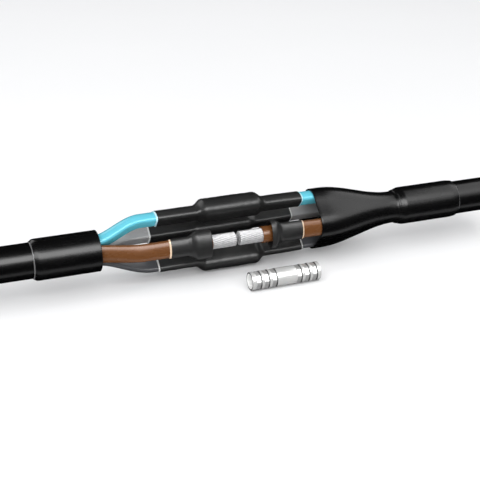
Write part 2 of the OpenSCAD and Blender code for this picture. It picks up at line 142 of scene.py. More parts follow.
@dataclass(frozen=True)
class JointSizes:
    """Driving sizes of the joint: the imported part's, and a further twist of the open cores."""

    core_r: float = 16.5
    core_edge_r: float = 3.0
    core_tip_r: float = 2.0
    insulation: float = 1.2
    bedding_wall: float = 0.45
    sheath_wall: float = 2.6
    cable_left: float = 300.0
    cable_right: float = 340.0
    bundle_turn_deg: float = 1.5
    open_twist_deg: float = 1.5
    twist_rise: float = 45.0
    twist_fall: float = 40.0
    twist_margin: float = 2.0
    conductor_d: float = 16.2
    outer_wires: int = 18
    wire_turn: float = 400.0
    wire_turn_span: float = 100.0
    front_bare_left: float = 29.0
    front_bare_right: float = 28.0
    front_gap: float = 3.5
    front_gap_x: float = 2.0
    core_spread: float = 18.0
    mouth_spread: float = 17.5
    core_gap: float = 0.3
    fan_length: float = 51.0
    top_fan_length: float = 55.0
    bottom_fan_length: float = 66.0
    lean_start: float = 60.0
    gather_start: float = 117.0
    gather_end: float = 210.0
    connector_d: float = 21.0
    long_connector: float = 82.0
    short_connector: float = 60.0
    bore_play: float = 0.4
    band_w: float = 7.0
    band_ridge: float = 2.3
    connector_lip: float = 4.0
    crimp_depth: float = 0.7
    stop_h: float = 1.5
    stop_w: float = 1.5
    top_connector_x: float = 4.0
    bottom_connector_x: float = 1.0
    back_connector_x: float = 3.0
    inner_wall: float = 1.2
    top_sleeve_left: float = 84.0
    top_sleeve_right: float = 90.0
    front_sleeve_left: float = 77.0
    front_sleeve_right: float = 81.0
    bottom_sleeve_left: float = 84.0
    bottom_sleeve_right: float = 90.0
    back_sleeve_left: float = 85.0
    back_sleeve_right: float = 89.0
    swell_r: float = 26.2
    swell_edge_r: float = 7.0
    swell_room: float = 2.25
    swell_tip_r: float = 6.0
    swell_play: float = 1.0
    shoulder: float = 11.0
    front_swell: float = 92.0
    front_swell_x: float = -0.5
    front_cut_left: float = 31.0
    front_cut_right: float = 41.0
    left_wall: float = 3.1
    right_wall: float = 2.2
    stretched_wall: float = 2.0
    outer_left_end: float = 226.0
    outer_left_cut: float = 152.0
    sheath_end_left: float = 157.0
    outer_right_cut: float = 105.0
    sheath_end_right: float = 216.0
    outer_right_end: float = 294.0
    left_rim: float = 4.0
    right_rim: float = 7.0
    rim_wall: float = 1.4
    bead_w: float = 2.0
    bead_h: float = 1.2
    fit: float = 0.15

    @property
    def tip_gap(self) -> float:
        """Distance of a bundled core's inner edge from the cable's axis."""
        return self.core_gap / math.sqrt(2)

    @property
    def bedding_in(self) -> float:
        """Inner radius of the bedding."""
        return self.tip_gap + self.core_r + self.fit

    @property
    def sheath_in(self) -> float:
        """Inner radius of the sheath."""
        return self.bedding_in + self.bedding_wall + self.fit

    @property
    def cable_r(self) -> float:
        """Outer radius of the cable."""
        return self.sheath_in + self.sheath_wall

    @property
    def core_mid(self) -> float:
        """Distance of a core's inner edge from its conductor's line."""
        return self.core_r * 4 * math.sqrt(2) / (3 * math.pi)

    @property
    def conductor_r(self) -> float:
        """Radius of a round conductor."""
        return self.conductor_d / 2

    @property
    def connector_r(self) -> float:
        """Outer radius of a connector."""
        return self.connector_d / 2

    @property
    def core_axis(self) -> float:
        """Distance of a spread core's conductor line from the cable's axis."""
        return self.core_spread + self.tip_gap + self.core_mid

    def sleeve_ends(self, place: Place) -> Span:
        """Looks up the ends of an inner sleeve.

        Args:
            place: where its core lies.

        Returns:
            The left and the right end.
        """
        ends = {
            Place.TOP: (-self.top_sleeve_left, self.top_sleeve_right),
            Place.FRONT: (-self.front_sleeve_left, self.front_sleeve_right),
            Place.BOTTOM: (-self.bottom_sleeve_left, self.bottom_sleeve_right),
            Place.BACK: (-self.back_sleeve_left, self.back_sleeve_right),
        }
        return ends[place]

    def sheath_end(self, side: Side) -> float:
        """Returns the end of a cable's sheath next to the joint."""
        return -self.sheath_end_left if side is Side.LEFT else self.sheath_end_right

    def cable_end(self, side: Side) -> float:
        """Returns the sawn end of a cable."""
        return -self.cable_left if side is Side.LEFT else self.cable_right

    def connector_x(self, place: Place) -> float:
        """Looks up where the two conductors of a core meet.

        Args:
            place: where the core lies.

        Returns:
            The station.
        """
        middles = {
            Place.TOP: self.top_connector_x,
            Place.FRONT: self.front_gap_x,
            Place.BOTTOM: self.bottom_connector_x,
            Place.BACK: self.back_connector_x,
        }
        return middles[place]

    def swell_middle(self, place: Place) -> float:
        """Returns the middle of the swelling at a place."""
        return self.front_swell_x if place is Place.FRONT else self.connector_x(place)

    def swell_half(self, place: Place) -> float:
        """Returns half the length of the swelling at a place."""
        length = self.front_swell if place is Place.FRONT else self.short_connector + self.swell_play
        return length / 2

    def swelling(self, x: float, place: Place) -> float:
        """Returns 0 on the plain core and 1 from the swelling inwards."""
        beyond = max(0.0, abs(x - self.swell_middle(place)) - self.swell_half(place))
        return ease(1 - beyond / self.shoulder)

    def insulation_end(self, place: Place, side: Side) -> float:
        """Finds the end of a core's insulation next to the middle.

        Args:
            place: where the core lies.
            side: the half of the joint that it is on.

        Returns:
            The station.
        """
        if place is not Place.FRONT:
            return self.connector_x(place) + side.value * (self.short_connector / 2 + self.fit)
        bare = self.front_bare_left if side is Side.LEFT else self.front_bare_right
        return self.front_gap_x + side.value * (self.front_gap / 2 + bare)

    def conductor_end(self, place: Place, side: Side) -> float:
        """Returns the end of a conductor next to the middle."""
        half = self.front_gap / 2 if place is Place.FRONT else self.stop_w / 2 + self.fit
        return self.connector_x(place) + side.value * half

    def turn_bundle(self, points: np.ndarray) -> np.ndarray:
        """Turns points about the cable's axis with the bundle, which twists a little where it is open.

        Args:
            points: points on straight cores.

        Returns:
            The same points on the turned and twisted ones.
        """
        rise = np.clip((points[:, 0] + self.sheath_end_left) / self.twist_rise, 0, 1)
        fall = np.clip((self.outer_right_cut - self.twist_margin - points[:, 0]) / self.twist_fall, 0, 1)
        share = rise * rise * (3 - 2 * rise) * fall * fall * (3 - 2 * fall)
        turn = np.radians(self.bundle_turn_deg + self.open_twist_deg * share)
        y = points[:, 1] * np.cos(turn) + points[:, 2] * np.sin(turn)
        z = points[:, 2] * np.cos(turn) - points[:, 1] * np.sin(turn)
        return np.column_stack([points[:, 0], y, z])


@dataclass(frozen=True)
class SectionForm:
    """A quarter circle with rounded corners, or a round, as a core's or sleeve's section."""

    shift: float
    radius: float
    edge_r: float
    tip_r: float
    roundness: float = 0.0
    middle: float = 0.0

    def towards(self, other: "SectionForm", share: float) -> "SectionForm":
        """Blends this form with another.

        Args:
            other: the form at a share of 1.
            share: how far towards it.

        Returns:
            The form in between.
        """
        return SectionForm(
            mix(self.shift, other.shift, share),
            mix(self.radius, other.radius, share),
            mix(self.edge_r, other.edge_r, share),
            mix(self.tip_r, other.tip_r, share),
            mix(self.roundness, other.roundness, share),
            mix(self.middle, other.middle, share),
        )


@dataclass(frozen=True)
class SectionPen:
    """Draws sections that all have the same number of points."""

    sizes: JointSizes
    arc_steps: int = 20
    edge_steps: int = 6
    tip_steps: int = 5

    @property
    def points(self) -> int:
        """Number of points of a section."""
        return self.arc_steps + 2 * self.edge_steps + self.tip_steps + 2

    def sector_arcs(self, form: SectionForm) -> np.ndarray:
        """Lists a rounded quarter circle's points as arcs.

        Args:
            form: the form to draw.

        Returns:
            One row a point: centre v, centre u, radius and direction in degrees.
        """
        r, er, tr, middle = form.radius, form.edge_r, form.tip_r, form.middle
        lean = 45 - math.degrees(math.asin((er - middle / math.sqrt(2)) / (r - er)))
        ev = middle + (r - er) * math.cos(math.radians(lean))
        eu = (r - er) * math.sin(math.radians(lean))
        rows = [(middle, 0.0, r, mix(-lean, lean, i / self.arc_steps)) for i in range(self.arc_steps + 1)]
        edge = range(1, self.edge_steps + 1)
        rows += [(ev, eu, er, mix(lean, 135, i / self.edge_steps)) for i in edge]
        tip = range(self.tip_steps + 1)
        rows += [(tr * math.sqrt(2), 0.0, tr, mix(135, 225, i / self.tip_steps)) for i in tip]
        last = range(self.edge_steps)
        rows += [(ev, -eu, er, mix(225, 360 - lean, i / self.edge_steps)) for i in last]
        return np.array(rows)

    def round_arcs(self) -> np.ndarray:
        """Lists a round core's points, in the same way and order as sector_arcs().

        Returns:
            One row a point.
        """
        s = self.sizes
        at = 360 * (np.arange(self.points) - self.arc_steps / 2) / self.points
        insulated = s.conductor_r + s.fit + s.insulation
        ones = np.ones(self.points)
        return np.column_stack([ones * s.core_mid, ones * 0, ones * insulated, at])

    def outline(self, form: SectionForm, grow: float | np.ndarray) -> np.ndarray:
        """Draws a section, grown outwards.

        Args:
            form: the form to draw.
            grow: how far outwards, one number or one for each point.

        Returns:
            Points as v, away from the cable's axis, and u, across, from the conductor's line.
        """
        arcs = self.sector_arcs(form)
        arcs = arcs + (self.round_arcs() - arcs) * form.roundness
        turn = np.radians(arcs[:, 3])
        reach = arcs[:, 2] + grow
        v = form.shift + arcs[:, 0] - self.sizes.core_mid + reach * np.cos(turn)
        return np.column_stack([v, arcs[:, 1] + reach * np.sin(turn)])


@dataclass(frozen=True)
class CorePath:
    """The line that one core follows through the joint."""

    sizes: JointSizes
    place: Place
    shoulder_step: float = 0.9
    bend_step: float = 2.5
    straight_step: float = 9.0
    step_margin: float = 2.0

    @property
    def pen(self) -> SectionPen:
        """Pen for the sections along this path."""
        return SectionPen(self.sizes)

    @property
    def core_form(self) -> SectionForm:
        """Section of the plain core."""
        s = self.sizes
        return SectionForm(0.0, s.core_r, s.core_edge_r, s.core_tip_r)

    @property
    def swell_form(self) -> SectionForm:
        """Section of the sleeve's swelling over a connector.

        Returns:
            The form, as wide as the connector with its room.
        """
        s = self.sizes
        shift = s.core_mid - s.connector_r * math.sqrt(2)
        middle = s.connector_r * (1 + math.sqrt(2)) + s.swell_room - s.swell_r
        return SectionForm(shift, s.swell_r, s.swell_edge_r, s.swell_tip_r, middle=middle)

    def fan(self) -> float:
        """Looks up the length over which this core spreads on the left.

        Returns:
            The length.
        """
        s = self.sizes
        lengths = {Place.TOP: s.top_fan_length, Place.BOTTOM: s.bottom_fan_length}
        return lengths.get(self.place, s.fan_length)

    def spread(self, x: float) -> float:
        """Finds how far the core's inner edge lies from the cable's axis.

        Args:
            x: station along the cable.

        Returns:
            The distance.
        """
        s = self.sizes
        if x < 0:
            return s.tip_gap + s.core_spread * ease((x + s.sheath_end_left) / self.fan())
        lean = ease((x - s.lean_start) / (s.gather_start - s.lean_start))
        gather = ease((x - s.gather_start) / (s.gather_end - s.gather_start))
        return s.tip_gap + s.core_spread - (s.core_spread - s.mouth_spread) * lean - s.mouth_spread * gather

    def slope(self, x: float) -> float:
        """Finds how fast that distance grows along X.

        Args:
            x: station along the cable.

        Returns:
            The slope.
        """
        s = self.sizes
        if x < 0:
            return s.core_spread * ease_slope((x + s.sheath_end_left) / self.fan()) / self.fan()
        lean = s.gather_start - s.lean_start
        gather = s.gather_end - s.gather_start
        return (
            -(s.core_spread - s.mouth_spread) / lean * ease_slope((x - s.lean_start) / lean)
            - s.mouth_spread / gather * ease_slope((x - s.gather_start) / gather)
        )

    def step_at(self, x: float) -> float:
        """Chooses a step that suits the bends and the shoulders.

        Args:
            x: station along the cable.

        Returns:
            The step to the next station.
        """
        s = self.sizes
        beyond = abs(x - s.swell_middle(self.place)) - s.swell_half(self.place)
        if -self.step_margin <= beyond <= s.shoulder + self.step_margin / 2:
            return self.shoulder_step
        fans = -s.sheath_end_left - self.step_margin < x < -s.sheath_end_left + self.fan()
        gathers = s.lean_start < x < s.gather_end
        return self.bend_step if fans or gathers else self.straight_step

    def core_section(self, x: float) -> SectionForm:
        """Forms the core's section, which is round beside its connector.

        Args:
            x: station along the cable.

        Returns:
            The form.
        """
        s = self.sizes
        whole = SectionForm(0.0, s.core_r, s.core_edge_r, s.core_tip_r, 1.0)
        return self.core_form.towards(whole, s.swelling(x, self.place))

    def sleeve_section(self, x: float) -> SectionForm:
        """Returns the form that the inner sleeve covers at x."""
        return self.core_form.towards(self.swell_form, self.sizes.swelling(x, self.place))

    def stand(self, x: float, flat: np.ndarray) -> np.ndarray:
        """Stands a flat section on the path.

        Args:
            x: station along the cable.
            flat: points as v and u, from the conductor's line.

        Returns:
            The same points in the joint's coordinates.
        """
        tilt = math.atan(self.slope(x))
        away = self.spread(x) + self.sizes.core_mid
        along = x - flat[:, 0] * math.sin(tilt)
        out = away + flat[:, 0] * math.cos(tilt)
        across = flat[:, 1]
        turned = {
            Place.TOP: (across, out),
            Place.FRONT: (-out, across),
            Place.BOTTOM: (-across, -out),
            Place.BACK: (out, -across),
        }
        y, z = turned[self.place]
        return self.sizes.turn_bundle(np.column_stack([along, y, z]))

    def ring(self, x: float, form: SectionForm, grow: float | np.ndarray) -> np.ndarray:
        """Returns the section's points at x, grown outwards by the given amount."""
        return self.stand(x, self.pen.outline(form, grow))


@dataclass(frozen=True)
class Placement:
    """Where the joint's coordinates lie in the frame, in millimetres."""

    x: float
    y: float
    z: float

    @classmethod
    def from_frame(cls, sizes: JointSizes) -> "Placement":
        """Measures the place of the joint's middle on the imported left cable.

        Args:
            sizes: the joint's sizes.

        Returns:
            The place.
        """
        low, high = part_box("cable_sheath_left")
        return cls(
            low.x / MM + sizes.cable_left,
            (low.y + high.y) / 2 / MM,
            (low.z + high.z) / 2 / MM,
        )

    def to_frame(self, points: np.ndarray) -> np.ndarray:
        """Returns points of the joint in the frame, in metres."""
        return (points + np.array([self.x, self.y, self.z])) * MM


@dataclass(frozen=True)
class Lumps:
    """Soft unevenness of a shrunk surface, always sunk below its full size."""

    depth: float
    size: float
    seed: float = 0.0
    wide_share: float = 0.42
    fine_share: float = 0.16
    fineness: float = 2.7
    fine_shift: float = 11.0

    def sink(self, points: np.ndarray) -> np.ndarray:
        """Finds how far a surface sinks below its full size.

        Args:
            points: points on the full surface.

        Returns:
            One depth a point.
        """
        shifted = points / self.size + self.seed
        wide = [noise.noise(Vector(p)) for p in shifted]
        fine = [noise.noise(Vector(p * self.fineness + self.fine_shift)) for p in shifted]
        share = 0.5 + self.wide_share * np.array(wide) + self.fine_share * np.array(fine)
        return self.depth * np.clip(share, 0, 1)


def rounded_wall(outer: Profile, inner: Profile, radius: float, steps: int = 4) -> Profile:
    """Closes an outer and an inner line to a wall with rounded ends.

    Args:
        outer: outer line as x and height, in rising x.
        inner: inner line, in rising x, with the same ends.
        radius: rounding of the four corners.
        steps: facets of one rounded corner.

    Returns:
        The closed profile: out along the outer line, back along the inner one.
    """

    def corner(x: float, top: float, low: float, side: int) -> Profile:
        """Rounds the two corners of one end.

        Args:
            x: the end's station.
            top: height of the outer line there.
            low: height of the inner line there.
            side: sign along X of the side that the end looks to.

        Returns:
            Its points, from the outer line to the inner one.
        """
        turns = [math.pi / 2 * i / steps for i in range(steps + 1)]
        at = x - side * radius
        upper = [(at + side * radius * math.sin(t), top - radius + radius * math.cos(t)) for t in turns]
        lower = [(at + side * radius * math.cos(t), low + radius - radius * math.sin(t)) for t in turns]
        return upper + lower

    def body(line: Profile) -> Profile:
        """Takes the stretch of a line that lies clear of the rounded ends.

        Args:
            line: the outer or the inner line.

        Returns:
            Its points there.
        """
        clear = CORNER_ROOM * radius
        first, last = line[0][0] + clear, line[-1][0] - clear
        return [p for p in line if first < p[0] < last]

    right = corner(outer[-1][0], outer[-1][1], inner[-1][1], 1)
    left = corner(outer[0][0], outer[0][1], inner[0][1], -1)
    return body(outer) + right + body(inner)[::-1] + left[::-1]


class MeshDraft:
    """Vertices and faces of one piece while it is being made, in the joint's millimetres."""

    def __init__(self, name: str) -> None:
        """Starts an empty draft.

        Args:
            name: the piece's name.
        """
        self.name = name
        self.points: list[np.ndarray] = []
        self.faces: list[tuple[int, ...]] = []
        self.count = 0

    def _add_points(self, points: np.ndarray) -> int:
        """Adds points to the draft.

        Args:
            points: the points.

        Returns:
            The number of the first.
        """
        first = self.count
        self.points.append(points)
        self.count += len(points)
        return first

    def add_rings(self, rings: Sequence[np.ndarray], closed: bool = False, caps: bool = True) -> None:
        """Adds a skin over rings of equal length.

        Args:
            rings: the rings, each an array of points.
            closed: joins the last ring to the first, as round a tube's wall.
            caps: closes the first and the last ring with a face where the skin is open.
        """
        n, count = len(rings[0]), len(rings)
        first = self._add_points(np.vstack(rings))
        turn = [(k, (k + 1) % n) for k in range(n)]
        for i in range(count if closed else count - 1):
            a, b = first + i * n, first + ((i + 1) % count) * n
            self.faces.extend((a + k, a + m, b + m, b + k) for k, m in turn)
        if caps and not closed:
            self.faces.append(tuple(first + k for k in range(n - 1, -1, -1)))
            self.faces.append(tuple(first + (count - 1) * n + k for k in range(n)))

    def build(self, placement: Placement, sharp_deg: float = 35.0) -> bpy.types.Object:
        """Makes the object from what was added.

        Args:
            placement: where the joint lies in the frame.
            sharp_deg: edges that turn more than this stay sharp.

        Returns:
            The new object, in the scene's collection.
        """
        mesh = bpy.data.meshes.new(self.name)
        mesh.from_pydata(placement.to_frame(np.vstack(self.points)).tolist(), [], self.faces)
        shape = bmesh.new()
        shape.from_mesh(mesh)
        bmesh.ops.recalc_face_normals(shape, faces=shape.faces)
        shape.to_mesh(mesh)
        shape.free()
        mesh.shade_smooth()
        mesh.set_sharp_from_angle(angle=math.radians(sharp_deg))
        piece = bpy.data.objects.new(self.name, mesh)
        bpy.context.scene.collection.objects.link(piece)
        return piece


class NodeBoard:
    """A new material's nodes, with the short calls that the finishes share."""

    NOISE_LOW = 0.3
    NOISE_HIGH = 0.7
    SEED_SHIFT = (1.0, 0.7, 0.3)

    def __init__(self, name: str) -> None:
        """Starts a material with a Principled shader.

        Args:
            name: the material's name.
        """
        self.material = bpy.data.materials.new(name)
        self.material.use_nodes = True
        self.tree = self.material.node_tree
        self.shader = self.tree.nodes["Principled BSDF"]
        self.place = self.tree.nodes.new("ShaderNodeTexCoord").outputs["Object"]

    def link(self, output: bpy.types.NodeSocket, target: bpy.types.NodeSocket) -> None:
        """Joins two sockets."""
        self.tree.links.new(output, target)

    def set(self, **values: object) -> None:
        """Sets the shader's own sockets, named with underscores for blanks."""
        for key, value in values.items():
            self.shader.inputs[key.replace("_", " ")].default_value = value

    def noise(
        self, size_mm: float, stretch: float = 1.0, detail: float = 3.0, seed: float = 0.0
    ) -> bpy.types.NodeSocket:
        """Adds noise in the object's own coordinates.

        Args:
            size_mm: size of its marks across the cable.
            stretch: how much longer they are along the cable.
            detail: number of finer layers.
            seed: shifts the pattern.

        Returns:
            The factor output.
        """
        scale = self.tree.nodes.new("ShaderNodeMapping")
        scale.inputs["Scale"].default_value = (1 / stretch, 1.0, 1.0)
        scale.inputs["Location"].default_value = tuple(seed * share for share in self.SEED_SHIFT)
        self.link(self.place, scale.inputs["Vector"])
        marks = self.tree.nodes.new("ShaderNodeTexNoise")
        marks.inputs["Scale"].default_value = 1 / (size_mm * MM)
        marks.inputs["Detail"].default_value = detail
        self.link(scale.outputs["Vector"], marks.inputs["Vector"])
        return marks.outputs["Fac"]

    def spread(self, value: bpy.types.NodeSocket, low: float, high: float) -> bpy.types.NodeSocket:
        """Maps the middle of a noise's range to two limits.

        Args:
            value: the noise.
            low: what its low marks become.
            high: what its high marks become.

        Returns:
            The mapped output.
        """
        span = self.tree.nodes.new("ShaderNodeMapRange")
        span.inputs["From Min"].default_value = self.NOISE_LOW
        span.inputs["From Max"].default_value = self.NOISE_HIGH
        span.inputs["To Min"].default_value = low
        span.inputs["To Max"].default_value = high
        self.link(value, span.inputs["Value"])
        return span.outputs["Result"]

    def tint(self, share: bpy.types.NodeSocket, first: Rgb, second: Rgb) -> bpy.types.NodeSocket:
        """Mixes two colours.

        Args:
            share: how much of the second there is.
            first: the colour at 0.
            second: the colour at 1.

        Returns:
            The colour output.
        """
        blend = self.tree.nodes.new("ShaderNodeMix")
        blend.data_type = "RGBA"
        # The mix node's sockets share their names between its data types, so they go by number
        self.link(share, blend.inputs[0])
        blend.inputs[6].default_value = (*first, 1.0)
        blend.inputs[7].default_value = (*second, 1.0)
        return blend.outputs[2]

    def colour(self, marks: bpy.types.NodeSocket, first: Rgb, second: Rgb) -> None:
        """Colours the surface between two colours, as a noise says."""
        self.link(self.tint(self.spread(marks, 0.0, 1.0), first, second), self.shader.inputs["Base Color"])

    def polish(self, marks: bpy.types.NodeSocket, low: float, high: float) -> None:
        """Varies the roughness between two limits, as a noise says."""
        self.link(self.spread(marks, low, high), self.shader.inputs["Roughness"])

    def bump(
        self, height: bpy.types.NodeSocket, depth_mm: float, under: bpy.types.NodeSocket | None = None
    ) -> bpy.types.NodeSocket:
        """Adds a bump of a given depth.

        Args:
            height: the pattern that lifts the surface.
            depth_mm: its full height.
            under: normal of another bump that this one adds to.

        Returns:
            The normal output.
        """
        lift = self.tree.nodes.new("ShaderNodeBump")
        lift.inputs["Distance"].default_value = depth_mm * MM
        self.link(height, lift.inputs["Height"])
        if under is not None:
            self.link(under, lift.inputs["Normal"])
        return lift.outputs["Normal"]


@dataclass(frozen=True)
class PolymerFinish:
    """Extruded or shrunk plastic: a colour that shifts a little, die lines and soft unevenness."""

    name: str
    colour: Rgb
    shade: Rgb
    rough_low: float
    rough_high: float
    ior: float = 1.46
    grain_mm: float = 1.2
    grain_depth: float = 0.02
    line_mm: float = 0.9
    line_depth: float = 0.015
    line_stretch: float = 60.0
    cloud_mm: float = 14.0
    cloud_stretch: float = 3.0
    rub_mm: float = 5.0
    rub_stretch: float = 6.0
    subsurface: float = 0.0
    glow_depth_mm: float = 2.0
    glow_reach: Rgb = (1.0, 0.8, 0.6)

    def material(self) -> bpy.types.Material:
        """Builds the material.

        Returns:
            The new material.
        """
        board = NodeBoard(self.name)
        board.set(IOR=self.ior)
        if self.subsurface:
            board.set(Subsurface_Weight=self.subsurface, Subsurface_Radius=self.glow_reach)
            board.set(Subsurface_Scale=self.glow_depth_mm * MM)
        board.colour(board.noise(self.cloud_mm, stretch=self.cloud_stretch), self.colour, self.shade)
        rub = board.noise(self.rub_mm, stretch=self.rub_stretch, detail=5.0, seed=3.1)
        board.polish(rub, self.rough_low, self.rough_high)
        drawn = board.noise(self.line_mm, stretch=self.line_stretch, detail=2.0, seed=1.7)
        lines = board.bump(drawn, self.line_depth)
        grain = board.bump(board.noise(self.grain_mm, detail=4.0, seed=5.3), self.grain_depth, lines)
        board.link(grain, board.shader.inputs["Normal"])
        return board.material


@dataclass(frozen=True)
class MetalFinish:
    """Drawn or tinned metal with fine drawing lines and a softly clouded gloss."""

    name: str
    colour: Rgb
    shade: Rgb
    metallic: float
    rough_low: float
    rough_high: float
    line_mm: float = 0.35
    line_stretch: float = 30.0
    line_depth: float = 0.01
    cloud_mm: float = 3.0
    rub_share: float = 0.4
    rub_stretch: float = 4.0

    def material(self) -> bpy.types.Material:
        """Builds the material.

        Returns:
            The new material.
        """
        board = NodeBoard(self.name)
        board.set(Metallic=self.metallic)
        board.colour(board.noise(self.cloud_mm, detail=5.0, seed=2.2), self.colour, self.shade)
        rub = board.noise(self.cloud_mm * self.rub_share, stretch=self.rub_stretch, detail=6.0, seed=7.9)
        board.polish(rub, self.rough_low, self.rough_high)
        lines = board.noise(self.line_mm, stretch=self.line_stretch, detail=3.0, seed=4.4)
        board.link(board.bump(lines, self.line_depth), board.shader.inputs["Normal"])
        return board.material


@dataclass(frozen=True)
class AdhesiveFinish:
    """Hot-melt adhesive that takes a tint from what it lies on."""

    name: str
    colour: Rgb
    shade: Rgb
    ior: float = 1.48
    subsurface: float = 0.25
    glow_depth_mm: float = 1.0
    glow_reach: Rgb = (1.0, 0.9, 0.7)
    rough_low: float = 0.22
    rough_high: float = 0.42
    cloud_mm: float = 1.6
    rub_mm: float = 0.8
    dimple_mm: float = 0.9
    dimple_depth: float = 0.12

    def material(self) -> bpy.types.Material:
        """Builds the material.

        Returns:
            The new material.
        """
        board = NodeBoard(self.name)
        board.set(IOR=self.ior, Subsurface_Weight=self.subsurface, Subsurface_Radius=self.glow_reach)
        board.set(Subsurface_Scale=self.glow_depth_mm * MM)
        board.colour(board.noise(self.cloud_mm, detail=4.0), self.colour, self.shade)
        board.polish(board.noise(self.rub_mm, seed=6.0), self.rough_low, self.rough_high)
        dimples = board.noise(self.dimple_mm, detail=3.0, seed=9.0)
        board.link(board.bump(dimples, self.dimple_depth), board.shader.inputs["Normal"])
        return board.material


class Finishes:
    """All materials of the joint, each made once."""

    def __init__(self) -> None:
        """Builds every material."""
        self.sheath = PolymerFinish(
            "glossy_black_sheath", (0.001, 0.001, 0.0011), (0.002, 0.002, 0.0021), 0.22, 0.27, ior=1.34
        ).material()
        self.bedding = PolymerFinish(
            "bedding", (0.07, 0.07, 0.066), (0.1, 0.1, 0.095), 0.6, 0.75
        ).material()
        self.outer_sleeve = PolymerFinish(
            "outer_shrink_sleeve", (0.001, 0.001, 0.0011), (0.0025, 0.0025, 0.0026), 0.24, 0.29,
            ior=1.34, grain_mm=2.2, grain_depth=0.03
        ).material()
        self.inner_sleeve = PolymerFinish(
            "inner_shrink_sleeve", (0.011, 0.011, 0.011), (0.017, 0.017, 0.017), 0.32, 0.4,
            ior=1.4, grain_mm=1.8, grain_depth=0.035
        ).material()
        self.cores = {place: finish.material() for place, finish in self.core_finishes().items()}
        self.conductor = MetalFinish(
            "drawn_wire", (0.46, 0.46, 0.465), (0.37, 0.37, 0.375), 0.4, 0.34, 0.46
        ).material()
        self.tin = MetalFinish(
            "tinned_connector", (0.62, 0.62, 0.613), (0.58, 0.58, 0.573), 0.4, 0.24, 0.28,
            line_depth=0.0006, cloud_mm=9.0
        ).material()
        # A darker, more metallic copy of the tin on the pressed flats: painted shade
        self.crimped = MetalFinish(
            "crimped_tin", (0.48, 0.48, 0.476), (0.44, 0.44, 0.436), 0.5, 0.24, 0.28,
            line_depth=0.0006, cloud_mm=9.0
        ).material()
        # Near-black stripes on the falling band edges and round both rims of the loose connector: painted
        # shade
        self.worn_edge = MetalFinish(
            "worn_crimp_edge", (0.03, 0.03, 0.03), (0.02, 0.02, 0.02), 0.0, 0.6, 0.7, line_depth=0.0006
        ).material()
        # A brighter, less metallic copy of the tin inside the barrel: painted light in the bore
        self.bore = MetalFinish(
            "tinned_bore", (0.88, 0.88, 0.87), (0.84, 0.84, 0.83), 0.15, 0.4, 0.5
        ).material()
        self.adhesives = {place: finish.material() for place, finish in self.adhesive_finishes().items()}
        self.outer_adhesive = AdhesiveFinish(
            "adhesive_on_cable", (0.13, 0.13, 0.132), (0.08, 0.08, 0.082)
        ).material()

    @staticmethod
    def core_finishes() -> dict[Place, PolymerFinish]:
        """Lists the finishes of the cores' insulation.

        Returns:
            The finish for each core's place.
        """
        return {
            Place.TOP: PolymerFinish(
                "core_blue", (0.118, 0.49, 0.605), (0.09, 0.44, 0.55), 0.2, 0.27,
                ior=1.42, subsurface=0.08, grain_depth=0.01, line_depth=0.008
            ),
            Place.FRONT: PolymerFinish(
                "core_brown", (0.125, 0.047, 0.014), (0.105, 0.039, 0.011), 0.24, 0.3,
                ior=1.4, subsurface=0.05, grain_depth=0.008, line_depth=0.006
            ),
            Place.BOTTOM: PolymerFinish(
                "core_black", (0.055, 0.056, 0.06), (0.042, 0.043, 0.047), 0.28, 0.38, ior=1.42
            ),
            Place.BACK: PolymerFinish(
                "core_grey", (0.33, 0.325, 0.325), (0.28, 0.275, 0.278), 0.2, 0.28, subsurface=0.05
            ),
        }

    @staticmethod
    def adhesive_finishes() -> dict[Place, AdhesiveFinish]:
        """Lists the finishes of the adhesive on the cores.

        Returns:
            The finish for each core's place.
        """
        return {
            Place.TOP: AdhesiveFinish("adhesive_on_blue", (0.496, 0.72, 0.76), (0.36, 0.64, 0.72)),
            Place.FRONT: AdhesiveFinish("adhesive_on_brown", (0.68, 0.528, 0.384), (0.56, 0.4, 0.272)),
            Place.BOTTOM: AdhesiveFinish("adhesive_on_black", (0.496, 0.496, 0.488), (0.4, 0.4, 0.392)),
            Place.BACK: AdhesiveFinish("adhesive_on_grey", (0.68, 0.68, 0.672), (0.56, 0.56, 0.552)),
        }


@dataclass(frozen=True)
class Dresser:
    """Gives a finished mesh its material and its place in the frame."""

    placement: Placement

    def dress(
        self, draft: MeshDraft, material: bpy.types.Material, slot: str, *nodes: str, sharp_deg: float = 35.0
    ) -> bpy.types.Object:
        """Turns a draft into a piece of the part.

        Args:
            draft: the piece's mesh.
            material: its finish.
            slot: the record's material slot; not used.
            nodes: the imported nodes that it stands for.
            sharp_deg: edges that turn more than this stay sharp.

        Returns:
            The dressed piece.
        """
        piece = draft.build(self.placement, sharp_deg)
        piece.data.materials.append(material)
        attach(piece, ROOT)
        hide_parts(*nodes)
        LOG.info("%s: %d faces", piece.name, len(piece.data.polygons))
        return piece


def round_ring(x: float, radius: float, segments: int) -> np.ndarray:
    """Returns a ring of points round the cable's axis."""
    turn = np.linspace(0, 2 * np.pi, segments, endpoint=False)
    return np.column_stack([np.full(segments, x), -radius * np.sin(turn), radius * np.cos(turn)])


